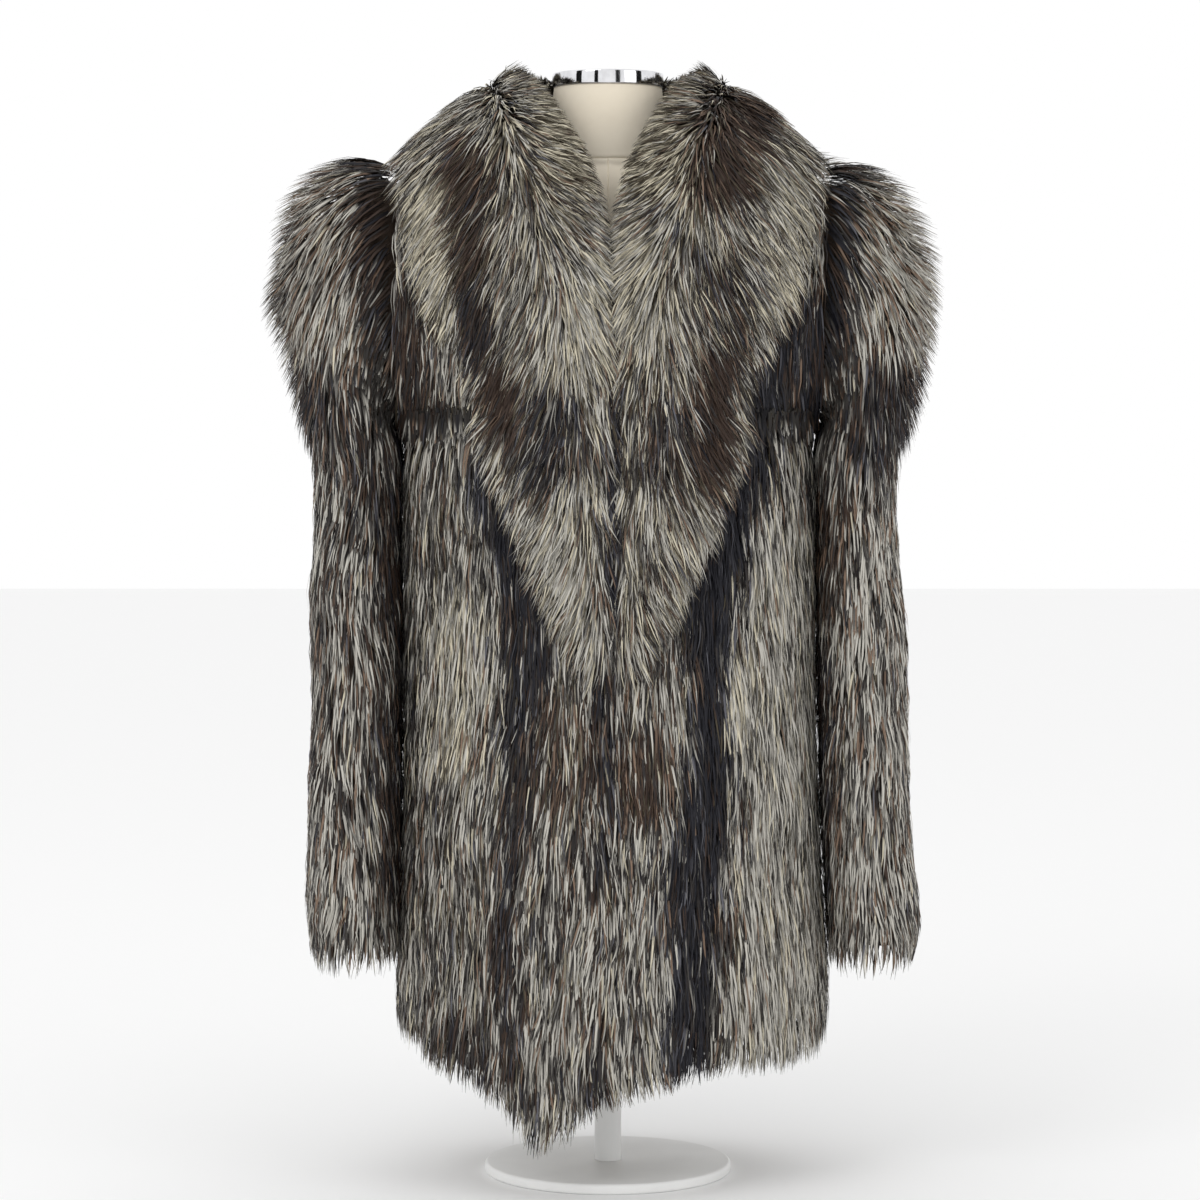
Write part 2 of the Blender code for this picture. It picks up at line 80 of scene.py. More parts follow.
# ---- tables ----------------------------------------------------------------------------------------
# Middle line of a front and of the back, from hem (climb 0) to shoulder seam (climb 1).
#   half_gap  distance of the front edge from the closing line; past the V it is the neckline
#   lean      how far the wall's thickness has turned from level (0) to upright (1)
#   turn      how far the section has turned towards the side at its outer end, 1 is a full quarter
#   spread    share of the width in which the section leaves the middle line's depth
#   neck      share of the width that follows the neckline
MiddleLevel = namedtuple("MiddleLevel", "climb z half_gap depth lean turn spread neck")
FRONT_LEVELS = (
    MiddleLevel(0.00, 0.100, 0.00015, 0.166, 0.00, 1.00, 1.00, 0.00),
    MiddleLevel(0.15, 0.250, 0.00015, 0.162, 0.00, 1.00, 1.00, 0.00),
    MiddleLevel(0.30, 0.400, 0.00015, 0.157, 0.00, 1.00, 1.00, 0.00),
    MiddleLevel(0.45, 0.550, 0.00020, 0.154, 0.00, 1.00, 1.00, 0.00),
    MiddleLevel(0.60, 0.700, 0.00250, 0.155, 0.00, 1.00, 1.00, 0.00),
    MiddleLevel(0.70, 0.757, 0.00350, 0.153, 0.04, 0.62, 1.00, 0.00),
    MiddleLevel(0.80, 0.815, 0.00200, 0.148, 0.10, 0.50, 1.00, 0.00),
    MiddleLevel(0.87, 0.868, 0.00700, 0.140, 0.22, 0.50, 1.00, 0.00),
    MiddleLevel(0.93, 0.922, 0.03300, 0.108, 0.50, 0.50, 1.00, 0.00),
    MiddleLevel(0.97, 0.950, 0.05700, 0.060, 0.78, 0.50, 1.00, 0.00),
    MiddleLevel(1.00, 0.965, 0.07200, 0.000, 1.00, 0.50, 1.00, 0.00),
)
BACK_LEVELS = (
    MiddleLevel(0.00, 0.100, 0.0, 0.176, 0.00, 1.00, 1.00, 0.00),
    MiddleLevel(0.15, 0.250, 0.0, 0.166, 0.00, 1.00, 1.00, 0.00),
    MiddleLevel(0.30, 0.400, 0.0, 0.154, 0.00, 1.00, 1.00, 0.00),
    MiddleLevel(0.45, 0.550, 0.0, 0.145, 0.00, 1.00, 1.00, 0.00),
    MiddleLevel(0.60, 0.700, 0.0, 0.147, 0.00, 1.00, 1.00, 0.00),
    MiddleLevel(0.70, 0.758, 0.0, 0.150, 0.00, 0.62, 1.00, 0.00),
    MiddleLevel(0.80, 0.822, 0.0, 0.149, 0.05, 0.50, 1.00, 0.00),
    MiddleLevel(0.87, 0.876, 0.0, 0.139, 0.18, 0.50, 0.95, 0.03),
    MiddleLevel(0.93, 0.930, 0.0, 0.116, 0.42, 0.40, 0.75, 0.14),
    MiddleLevel(0.97, 0.955, 0.0, 0.090, 0.72, 0.25, 0.54, 0.27),
    MiddleLevel(1.00, 0.965, 0.0, 0.066, 1.00, 0.10, 0.374, 0.374),
)
# Half widths of the body at the side seams.
SideLevel = namedtuple("SideLevel", "z wearers_right wearers_left")
SIDE_LEVELS = (
    SideLevel(0.10, 0.1930, 0.2000),
    SideLevel(0.17, 0.1965, 0.2040),
    SideLevel(0.24, 0.1950, 0.2030),
    SideLevel(0.34, 0.1910, 0.1975),
    SideLevel(0.46, 0.1895, 0.1930),
    SideLevel(0.70, 0.1900, 0.1905),
)
# Where the two fronts meet, from hem to V.
CloseLevel = namedtuple("CloseLevel", "z x")
CLOSE_LEVELS = (
    CloseLevel(0.05, -0.0120),
    CloseLevel(0.30, -0.0080),
    CloseLevel(0.52, 0.0030),
    CloseLevel(0.70, 0.0080),
    CloseLevel(0.84, 0.0030),
    CloseLevel(0.92, 0.0000),
)
# How much the hem hangs above its mean height, across each panel from the middle to the side.
HemLevel = namedtuple("HemLevel", "across front_right front_left back")
HEM_LEVELS = (
    HemLevel(0.00, -0.012, -0.006, 0.014),
    HemLevel(0.08, -0.034, 0.004, 0.014),
    HemLevel(0.14, -0.046, 0.010, 0.015),
    HemLevel(0.24, -0.022, 0.017, 0.018),
    HemLevel(0.40, 0.008, 0.024, 0.019),
    HemLevel(0.60, 0.026, 0.022, 0.022),
    HemLevel(0.80, 0.040, 0.028, 0.032),
    HemLevel(1.00, 0.052, 0.050, 0.051),
)
# Largest folds of the body: upright soft troughs that die out above the hem.
Fold = namedtuple("Fold", "side face across width depth top")
FOLDS = (
    Fold(-1, -1, 0.36, 0.085, 0.0085, 0.62),
    Fold(-1, -1, 0.70, 0.070, 0.0050, 0.34),
    Fold(1, -1, 0.30, 0.080, 0.0090, 0.66),
    Fold(1, -1, 0.66, 0.080, 0.0060, 0.40),
    Fold(-1, 1, 0.27, 0.080, 0.0080, 0.50),
    Fold(-1, 1, 0.66, 0.075, 0.0060, 0.36),
    Fold(1, 1, 0.33, 0.080, 0.0070, 0.44),
    Fold(1, 1, 0.70, 0.070, 0.0065, 0.40),
)
# Sleeve head: rings that fan out about the underarm point, from the armhole (0) to level (90 degrees).
FanLevel = namedtuple("FanLevel", "angle reach_right reach_left half_depth")
FAN_LEVELS = (
    FanLevel(0.0, 0.2400, 0.2400, 0.085),
    FanLevel(6.0, 0.2460, 0.2380, 0.088),
    FanLevel(12.0, 0.2400, 0.2270, 0.092),
    FanLevel(19.0, 0.2270, 0.2050, 0.096),
    FanLevel(26.0, 0.2080, 0.1830, 0.099),
    FanLevel(33.0, 0.1900, 0.1670, 0.101),
    FanLevel(39.0, 0.1740, 0.1500, 0.101),
    FanLevel(45.0, 0.1430, 0.1270, 0.099),
    FanLevel(52.0, 0.1130, 0.1060, 0.096),
    FanLevel(64.0, 0.0940, 0.0870, 0.092),
    FanLevel(90.0, 0.0800, 0.0735, 0.088),
)
# Sleeve below the underarm: level rings down to the cuff.
CUFF_FIELDS = "z inner_right outer_right inner_left outer_left half_depth middle_y wall"
CuffLevel = namedtuple("CuffLevel", CUFF_FIELDS)
CUFF_LEVELS = (
    CuffLevel(0.700, 0.1928, 0.2725, 0.1928, 0.2660, 0.088, 0.000, SLEEVE_WALL),
    CuffLevel(0.650, 0.1930, 0.2700, 0.1935, 0.2650, 0.086, -0.001, SLEEVE_WALL),
    CuffLevel(0.600, 0.1928, 0.2735, 0.1945, 0.2675, 0.086, -0.003, SLEEVE_WALL),
    CuffLevel(0.560, 0.1926, 0.2780, 0.1950, 0.2730, 0.087, -0.005, SLEEVE_WALL),
    CuffLevel(0.500, 0.1926, 0.2755, 0.1958, 0.2780, 0.088, -0.008, SLEEVE_WALL),
    CuffLevel(0.440, 0.1928, 0.2745, 0.1975, 0.2795, 0.087, -0.011, SLEEVE_WALL),
    CuffLevel(0.380, 0.1932, 0.2780, 0.1995, 0.2815, 0.086, -0.014, SLEEVE_WALL),
    CuffLevel(0.315, 0.1945, 0.2810, 0.2030, 0.2890, 0.086, -0.016, 0.019),
    CuffLevel(0.265, 0.1970, 0.2790, 0.2060, 0.2940, 0.085, -0.018, 0.015),
    CuffLevel(0.232, 0.1995, 0.2700, 0.2085, 0.2880, 0.081, -0.019, 0.011),
    CuffLevel(0.214, 0.2050, 0.2590, 0.2135, 0.2780, 0.074, -0.019, 0.007),
)
# Collar stations, from the centre back seam round the neck and down the front edge.  The foot line of a
# station crosses the panel from the neckline (in) to the collar's outer edge (out); roll_* is the way
# from the neckline to the edge that the collar rolls over; bulge is its fullness above the straight.
Station = namedtuple("Station", "place in_across in_climb out_across out_climb roll_x roll_y roll_z bulge")
BACK_STATIONS = (
    Station(0, 0.000, 1.00, 0.00, 0.850, 0.000, 0.010, 0.055, 0.016),
    Station(1, 0.120, 1.00, 0.20, 0.855, 0.004, 0.010, 0.055, 0.017),
    Station(2, 0.240, 1.00, 0.42, 0.870, 0.004, 0.008, 0.054, 0.019),
    Station(3, 0.330, 1.00, 0.62, 0.895, 0.002, 0.006, 0.053, 0.020),
    Station(4, 0.374, 1.00, 0.80, 0.945, 0.000, 0.004, 0.051, 0.020),
    Station(5, 0.390, 1.00, 0.90, 1.000, -0.002, -0.002, 0.049, 0.019),
)
FRONT_STATIONS = (
    Station(0, 0.000, 0.995, 0.90, 0.985, -0.002, -0.006, 0.047, 0.018),
    Station(1, 0.000, 0.970, 0.90, 0.940, 0.000, 0.004, 0.048, 0.020),
    Station(2, 0.000, 0.935, 0.88, 0.880, 0.004, 0.010, 0.048, 0.022),
    Station(3, 0.000, 0.900, 0.82, 0.825, 0.004, 0.004, 0.042, 0.021),
    Station(4, 0.000, 0.865, 0.67, 0.775, 0.003, -0.010, 0.026, 0.019),
    Station(5, 0.000, 0.820, 0.54, 0.730, 0.001, -0.020, 0.010, 0.016),
    Station(6, 0.000, 0.760, 0.47, 0.675, 0.000, -0.022, 0.002, 0.013),
    Station(7, 0.000, 0.690, 0.385, 0.620, 0.000, -0.021, 0.000, 0.010),
    Station(8, 0.000, 0.610, 0.305, 0.555, 0.000, -0.019, 0.000, 0.008),
    Station(9, 0.000, 0.530, 0.205, 0.490, 0.000, -0.016, 0.000, 0.006),
    Station(10, 0.000, 0.460, 0.110, 0.440, 0.000, -0.013, 0.000, 0.004),
    Station(11, 0.000, 0.410, 0.040, 0.400, 0.000, -0.010, 0.000, 0.002),
)
# The form: level rings from its cut underside to the top of its neck.
FormLevel = namedtuple("FormLevel", "z half_width front back power")
FORM_LEVELS = (
    FormLevel(0.245, 0.146, 0.100, 0.102, 2.2),
    FormLevel(0.300, 0.155, 0.106, 0.110, 2.2),
    FormLevel(0.370, 0.154, 0.106, 0.112, 2.2),
    FormLevel(0.460, 0.134, 0.097, 0.094, 2.2),
    FormLevel(0.550, 0.112, 0.086, 0.076, 2.2),
    FormLevel(0.620, 0.121, 0.098, 0.080, 2.2),
    FormLevel(0.690, 0.138, 0.121, 0.090, 2.2),
    FormLevel(0.750, 0.143, 0.117, 0.098, 2.2),
    FormLevel(0.810, 0.147, 0.100, 0.101, 2.1),
    FormLevel(0.860, 0.154, 0.087, 0.094, 1.9),
    FormLevel(0.890, 0.157, 0.078, 0.084, 1.7),
    FormLevel(0.910, 0.152, 0.071, 0.077, 1.5),
    FormLevel(0.9225, 0.138, 0.064, 0.070, 1.35),
    FormLevel(0.9295, 0.106, 0.058, 0.064, 1.35),
    FormLevel(0.9350, 0.075, 0.053, 0.060, 1.5),
    FormLevel(0.9500, 0.057, 0.052, 0.055, 1.9),
    FormLevel(0.9750, 0.053, 0.052, 0.054, 2.0),
    FormLevel(1.0085, 0.050, 0.050, 0.050, 2.0),
)


def column(table, name):
    return np.array([getattr(row, name) for row in table])


def smooth(table, along, name, at):
    """Value of a table's column at a place along another column, on a smooth curve through its rows.

    The curve never swings past its rows: its slope is zero at each of their turning points.
    """
    knots = column(table, along)
    values = column(table, name)
    secants = np.diff(values) / np.diff(knots)
    slopes = np.zeros(len(knots))
    joined = secants[:-1] * secants[1:]
    slopes[1:-1] = np.where(joined > 0, 2 * joined / (secants[:-1] + secants[1:] + 1e-12), 0.0)
    slopes[0] = secants[0]
    slopes[-1] = secants[-1]
    place = np.clip(at, knots[0], knots[-1])
    start = np.clip(np.searchsorted(knots, place, side="right") - 1, 0, len(knots) - 2)
    step = knots[start + 1] - knots[start]
    share = (place - knots[start]) / step
    rest = 1.0 - share
    return (
        (1.0 + 2.0 * share) * rest**2 * values[start]
        + share * rest**2 * step * slopes[start]
        + share**2 * (3.0 - 2.0 * share) * values[start + 1]
        - share**2 * rest * step * slopes[start + 1]
    )


def signed_power(value, power):
    return np.sign(value) * np.abs(value) ** power


def armhole(angle, inset):
    """Depth and height on the armhole, its angle measured from the shoulder; inset goes into the wall."""
    half_height = (SHOULDER_TOP - PIT_HEIGHT) / 2
    rounding = 2.0 / RING_POWER
    depth = (ARMHOLE_HALF_DEPTH - inset) * signed_power(np.sin(angle), rounding)
    rise = (half_height - inset) * signed_power(np.cos(angle), rounding)
    return depth, PIT_HEIGHT + half_height + rise


def fold_depth(side, face, across, climb):
    total = np.zeros(np.broadcast(across, climb).shape)
    for fold in FOLDS:
        if fold.side == side and fold.face == face:
            trough = np.exp(-(((across - fold.across) / fold.width) ** 2))
            total = total + fold.depth * trough * np.clip(1.0 - climb / fold.top, 0.0, 1.0) ** 1.3
    return total


def body_points(side, face, across, climb, inset):
    """Points of one quarter of the body: side -1 or 1, face -1 (front) or 1 (back).

    across runs from the middle line (0) to the side (1), climb from the hem (0) to the shoulder (1).
    """
    across, climb = np.broadcast_arrays(np.asarray(across, float), np.asarray(climb, float))
    levels = FRONT_LEVELS if face < 0 else BACK_LEVELS
    height = smooth(levels, "climb", "z", climb)
    lean = smooth(levels, "climb", "lean", climb) * math.pi / 2
    turn = np.clip(smooth(levels, "climb", "turn", climb), 0.05, 1.0) * math.pi / 2
    spread = smooth(levels, "climb", "spread", climb)
    neck = np.clip(smooth(levels, "climb", "neck", climb), 0.0, 0.9)
    depth = smooth(levels, "climb", "depth", climb)
    half_gap = smooth(levels, "climb", "half_gap", climb)
    panel = "back" if face > 0 else ("front_left" if side > 0 else "front_right")
    hem_share = np.clip(1.0 - climb / HEM_BLEND, 0.0, 1.0) ** 2
    edge_height = height + hem_share * smooth(HEM_LEVELS, "across", panel, 0.0)
    closing = smooth(CLOSE_LEVELS, "z", "x", edge_height) if face < 0 else 0.0
    middle_x = closing + side * half_gap
    middle_depth = np.maximum(depth - inset * np.cos(lean), SEAM_GAP / 2)
    middle_z = height - inset * np.sin(lean)

    width_name = "wearers_left" if side > 0 else "wearers_right"
    below = climb <= PIT_CLIMB
    past_pit = np.clip((climb - PIT_CLIMB) / (1.0 - PIT_CLIMB), 0.0, 1.0)
    hole_depth, hole_z = armhole(math.pi * (1.0 - past_pit), inset)
    side_x = np.where(below, smooth(SIDE_LEVELS, "z", width_name, height) - inset, ARMHOLE_X)
    side_depth = np.where(below, 0.0, hole_depth) + SEAM_GAP / 2
    side_z = np.where(below, middle_z, hole_z)

    rounding = 2.0 / SECTION_POWER
    swing = across * turn
    round_x = np.sin(swing) ** rounding / np.sin(turn) ** rounding
    narrow = np.clip(across / spread, 0.0, 1.0) * turn
    round_y = (np.cos(narrow) - np.cos(turn)) / (1.0 - np.cos(turn))
    round_y = np.where(turn > 1.5, np.abs(np.cos(narrow)) ** rounding, round_y)
    fall = np.clip((across - neck) / (1.0 - neck), 0.0, 1.0)

    x = middle_x + (side * side_x - middle_x) * round_x
    y = face * (side_depth + (middle_depth - side_depth) * round_y)
    z = middle_z + (side_z - middle_z) * fall

    z = z + hem_share * smooth(HEM_LEVELS, "across", panel, across)
    trough = fold_depth(side, face, across, climb)
    x = x - side * trough * np.sin(across * math.pi / 2)
    y = y - face * trough * np.cos(across * math.pi / 2)
    return np.stack([x, y, z], axis=-1)


def sleeve_points(side, around, down, share):
    """Grid of sleeve points, at a share of the way into the wall.

    around runs from 0 to 1 round each ring, down from 0 (armhole) over 1 (underarm) to 2 (cuff).
    """
    hand = "left" if side > 0 else "right"
    rows = []
    for step in down:
        fan = step < 1.0
        table = FAN_LEVELS if fan else CUFF_LEVELS
        place = (step if fan else step - 1.0) * (len(table) - 1)
        value = {name: float(at_place(table, name, place)) for name in table[0]._fields}
        if fan:
            angle = math.radians(value["angle"])
            direction = (math.sin(angle), math.cos(angle))
            foot = (ARMHOLE_X + SEAM_GAP, PIT_HEIGHT)
            reach, middle_y, wall = value["reach_" + hand], 0.0, SLEEVE_WALL
        else:
            direction = (1.0, 0.0)
            foot = (value["inner_" + hand], value["z"])
            reach = value["outer_" + hand] - foot[0]
            middle_y, wall = value["middle_y"], value["wall"]
        inset = share * wall
        turn = 2.0 * math.pi * around
        rounding = 2.0 / RING_POWER
        along = reach / 2 + (reach / 2 - inset) * signed_power(np.cos(turn), rounding)
        y = middle_y + (value["half_depth"] - inset) * signed_power(np.sin(turn), rounding)
        x = side * (foot[0] + direction[0] * along)
        rows.append(np.stack([x, y, foot[1] + direction[1] * along], axis=-1))
    return np.array(rows)


def at_place(table, name, place):
    """Value of a column at a place counted in rows, on a smooth curve."""
    Counted = namedtuple("Counted", "place value")
    counted = [Counted(index, value) for index, value in enumerate(column(table, name))]
    return smooth(counted, "place", "value", place)


def collar_grids(side, rows_between, columns):
    """Underside and top of one half of the collar, a row of points for each station."""
    share = np.linspace(0.0, 1.0, columns + 1)
    under, top = [], []
    for face, table in ((1, BACK_STATIONS), (-1, FRONT_STATIONS)):
        for place in np.linspace(0.0, len(table) - 1, rows_between * (len(table) - 1) + 1):
            station = Station(*(float(smooth(table, "place", name, place)) for name in Station._fields))
            across = station.in_across + (station.out_across - station.in_across) * share
            climb = station.in_climb + (station.out_climb - station.in_climb) * share
            foot = body_points(side, face, across, climb, 0.0)
            outward = foot - body_points(side, face, across, climb, BODY_WALL)
            outward /= np.linalg.norm(outward, axis=-1, keepdims=True)
            roll = foot[0] + np.array([side * station.roll_x, station.roll_y, station.roll_z])
            edge = foot[-1] + outward[-1] * COLLAR_EDGE
            fullness = station.bulge * np.sin(math.pi * share**BULGE_PEAK)
            under.append(foot + outward * COLLAR_LIFT)
            top.append(roll + (edge - roll) * share[:, None] + outward * fullness[:, None])
    under, top = np.array(under), np.array(top)
    for grid in (under, top):
        grid[0, :, 0] = side * SEAM_GAP / 2
    return under, top


# ---- how the fur lies and what colour it is --------------------------------------------------------
PELT = 0.0015              # thickness of the leather
HEM_START = 0.5            # the hair starts at this share of the pelt's rise above the hem
HEM_OVERHANG = 0.010       # near the hem a hair is as long as its height above the hem, plus this
SHORTEST_HAIR = 0.020      # of the fronts and the back
SLEEVE_BED = 0.28          # the hair of a sleeve starts at this share of its wall
SLEEVE_HEAD_BED = 0.62     # and at this share on the outermost part of the head, where it would stand out
SLEEVE_STEEP = 0.003       # sleeve rows nearer together than this don't steer the hair
SLEEVE_RUN = 0.6           # how far the rows of a sleeve steer the hair, against straight down
CUFF_LENGTH = 0.62         # share of the hair's length that is left at a cuff
COLLAR_BED = 0.004         # the hair of the collar starts this far below its top
PARTING = 0.22             # the collar's fur parts from this share of its width past the neckline
PARTING_WIDTH = 0.40       # share of the width over which it turns from inwards to outwards
SLEEVE_FUR_END = 1.93      # no hair starts nearer to the cuff, which is at 2
SLEEVE_PELT_END = 1.94

# A soft mark on the fur, from one point to another in the front or back view, in metres.
#   light  how light its hairs are, from 0 to 1;  brown, blue, cream  share of its hairs of that kind
# Most marks are the fur's own colour; those headed painted shade darken the hairs where shade falls, under
# the collar's edge and under the sleeve heads.
Mark = namedtuple("Mark", "x0 z0 x1 z1 radius light brown blue cream")
Coat = namedtuple("Coat", "light brown blue cream")
BASE_COATS = {
    "front": Coat(0.53, 0.13, 0.05, 0.10),
    "sleeve": Coat(0.52, 0.22, 0.04, 0.02),
    "collar": Coat(0.58, 0.12, 0.04, 0.30),
    "back": Coat(0.53, 0.13, 0.05, 0.09),
}
MARKS = {
    "front": (
        Mark(0.160, 0.820, 0.113, 0.696, 0.026, 0.04, 0.05, 0.85, 0.0),
        Mark(0.113, 0.696, 0.086, 0.572, 0.024, 0.04, 0.02, 0.90, 0.0),
        Mark(0.086, 0.572, 0.095, 0.492, 0.021, 0.04, 0.02, 0.90, 0.0),
        Mark(0.095, 0.492, 0.075, 0.314, 0.021, 0.06, 0.05, 0.80, 0.0),
        Mark(0.075, 0.314, 0.068, 0.128, 0.018, 0.10, 0.05, 0.70, 0.0),
        Mark(-0.100, 0.680, -0.074, 0.572, 0.017, 0.08, 0.10, 0.60, 0.0),
        Mark(-0.074, 0.572, -0.069, 0.430, 0.016, 0.08, 0.15, 0.55, 0.0),
        Mark(-0.069, 0.430, -0.091, 0.270, 0.011, 0.18, 0.30, 0.30, 0.0),
        Mark(-0.091, 0.270, -0.089, 0.146, 0.012, 0.20, 0.30, 0.30, 0.0),
        Mark(-0.188, 0.830, -0.172, 0.730, 0.026, 0.20, 0.50, 0.10, 0.0),
        Mark(0.186, 0.830, 0.180, 0.730, 0.022, 0.10, 0.30, 0.40, 0.0),
        # painted shade: the next two marks darken the front's hairs in the hollow under the collar's edge, as
        # dark brown hairs
        Mark(-0.083, 0.758, -0.080, 0.720, 0.020, 0.05, 0.85, 0.05, 0.0),
        Mark(0.082, 0.776, 0.073, 0.625, 0.018, 0.08, 0.80, 0.05, 0.0),
        Mark(0.028, 0.430, 0.026, 0.390, 0.026, 0.35, 0.60, 0.00, 0.1),
        Mark(-0.034, 0.460, -0.030, 0.400, 0.026, 0.40, 0.50, 0.00, 0.1),
        Mark(0.117, 0.510, 0.120, 0.450, 0.018, 0.95, 0.00, 0.00, 0.5),
        Mark(-0.130, 0.560, -0.140, 0.420, 0.022, 0.80, 0.05, 0.00, 0.4),
        Mark(0.008, 0.740, 0.003, 0.560, 0.008, 0.05, 0.10, 0.50, 0.0),
        Mark(0.000, 0.560, -0.012, 0.100, 0.007, 0.08, 0.20, 0.50, 0.0),
        Mark(0.155, 0.620, 0.150, 0.160, 0.032, 0.84, 0.04, 0.00, 0.12),
        Mark(-0.125, 0.175, -0.112, 0.150, 0.014, 0.15, 0.30, 0.20, 0.0),
        Mark(-0.020, 0.300, -0.025, 0.180, 0.020, 0.62, 0.20, 0.00, 0.1),
    ),
    "sleeve": (
        Mark(-0.232, 0.890, -0.240, 0.800, 0.040, 0.88, 0.28, 0.00, 0.08),
        # painted shade: darkens the hairs on the underside of the wearer's right sleeve head
        Mark(-0.259, 0.745, -0.250, 0.715, 0.028, 0.22, 0.40, 0.22, 0.0),
        Mark(-0.198, 0.950, -0.198, 0.780, 0.020, 0.08, 0.55, 0.20, 0.0),
        Mark(0.193, 0.950, 0.193, 0.780, 0.020, 0.06, 0.25, 0.50, 0.0),
        Mark(0.253, 0.890, 0.258, 0.800, 0.036, 0.90, 0.26, 0.00, 0.08),
        # painted shade: darkens the hairs on the underside of the wearer's left sleeve head
        Mark(0.253, 0.745, 0.243, 0.712, 0.028, 0.18, 0.35, 0.32, 0.0),
        Mark(0.216, 0.640, 0.214, 0.560, 0.018, 0.15, 0.75, 0.05, 0.0),
        Mark(-0.205, 0.660, -0.203, 0.300, 0.010, 0.25, 0.40, 0.20, 0.0),
        Mark(0.203, 0.520, 0.206, 0.300, 0.010, 0.25, 0.40, 0.20, 0.0),
        Mark(0.275, 0.540, 0.280, 0.420, 0.020, 0.35, 0.50, 0.10, 0.0),
        Mark(0.240, 0.620, 0.245, 0.260, 0.030, 0.68, 0.16, 0.02, 0.04),
    ),
    "collar": (
        Mark(-0.114, 0.950, -0.105, 0.865, 0.016, 0.12, 0.75, 0.05, 0.1),
        Mark(0.112, 0.985, 0.088, 0.930, 0.018, 0.12, 0.80, 0.05, 0.1),
        Mark(-0.145, 0.920, -0.140, 0.812, 0.020, 0.82, 0.00, 0.00, 0.7),
        Mark(0.144, 0.915, 0.148, 0.840, 0.020, 0.82, 0.00, 0.00, 0.6),
        Mark(-0.028, 0.850, -0.025, 0.776, 0.017, 0.76, 0.00, 0.00, 0.5),
        Mark(0.034, 0.865, 0.030, 0.800, 0.017, 0.74, 0.00, 0.00, 0.5),
        Mark(-0.108, 0.830, -0.100, 0.780, 0.018, 0.10, 0.30, 0.40, 0.0),
        Mark(0.090, 0.850, 0.094, 0.800, 0.018, 0.25, 0.30, 0.20, 0.2),
        # painted shade: the next two marks darken the collar's edge hairs above the hollow under it, as dark
        # brown hairs
        Mark(-0.083, 0.758, -0.078, 0.720, 0.019, 0.05, 0.90, 0.00, 0.0),
        Mark(0.084, 0.776, 0.074, 0.680, 0.017, 0.06, 0.88, 0.00, 0.0),
        Mark(-0.042, 0.640, -0.028, 0.560, 0.012, 0.78, 0.05, 0.00, 0.2),
        Mark(0.078, 0.630, 0.055, 0.560, 0.012, 0.82, 0.02, 0.00, 0.2),
        Mark(0.004, 0.870, 0.006, 0.760, 0.007, 0.10, 0.10, 0.45, 0.0),
        Mark(0.006, 0.760, 0.002, 0.560, 0.009, 0.04, 0.05, 0.70, 0.0),
        Mark(-0.050, 0.735, -0.045, 0.690, 0.022, 0.25, 0.20, 0.30, 0.1),
        Mark(0.050, 0.735, 0.045, 0.690, 0.018, 0.30, 0.25, 0.20, 0.1),
        Mark(-0.050, 0.990, -0.040, 0.930, 0.026, 0.45, 0.05, 0.00, 0.9),
        Mark(0.052, 0.990, 0.045, 0.930, 0.026, 0.45, 0.05, 0.00, 0.9),
    ),
    "back": (
        Mark(0.000, 0.880, 0.004, 0.120, 0.018, 0.12, 0.15, 0.55, 0.0),
        Mark(-0.095, 0.760, -0.088, 0.180, 0.014, 0.15, 0.25, 0.40, 0.0),
        Mark(0.098, 0.780, 0.090, 0.200, 0.014, 0.15, 0.25, 0.40, 0.0),
        Mark(-0.186, 0.830, -0.175, 0.720, 0.024, 0.15, 0.50, 0.20, 0.0),
        Mark(0.186, 0.830, 0.175, 0.720, 0.024, 0.15, 0.40, 0.30, 0.0),
        Mark(-0.050, 0.560, -0.046, 0.420, 0.020, 0.85, 0.00, 0.00, 0.5),
        Mark(0.052, 0.640, 0.048, 0.520, 0.020, 0.85, 0.00, 0.00, 0.5),
        Mark(0.150, 0.420, 0.140, 0.300, 0.022, 0.35, 0.60, 0.00, 0.1),
    ),
}


def coat_shades(zone, points):
    """Light, brown, blue and cream shares at points, from the zone's base coat and its marks."""
    shades = np.ones(points.shape[:-1] + (1,)) * np.array(BASE_COATS[zone])
    for mark in MARKS[zone]:
        start = np.array([mark.x0, mark.z0])
        run = np.array([mark.x1, mark.z1]) - start
        offset = points[..., (0, 2)] - start
        share = np.clip((offset @ run) / max(run @ run, 1e-9), 0.0, 1.0)
        distance = np.linalg.norm(offset - share[..., None] * run, axis=-1)
        weight = np.exp(-((distance / mark.radius) ** 4) * 0.7)[..., None]
        shades = shades * (1.0 - weight) + np.array(mark[5:]) * weight
    return shades


def grid_normals(grid):
    """Unit normals of a grid of points, to the side of rows x columns."""
    down = np.gradient(grid, axis=0)
    over = np.gradient(grid, axis=1)
    normal = np.cross(down, over)
    length = np.linalg.norm(normal, axis=-1, keepdims=True)
    return normal / np.maximum(length, 1e-12)


def unit(vector):
    return vector / np.maximum(np.linalg.norm(vector, axis=-1, keepdims=True), 1e-12)


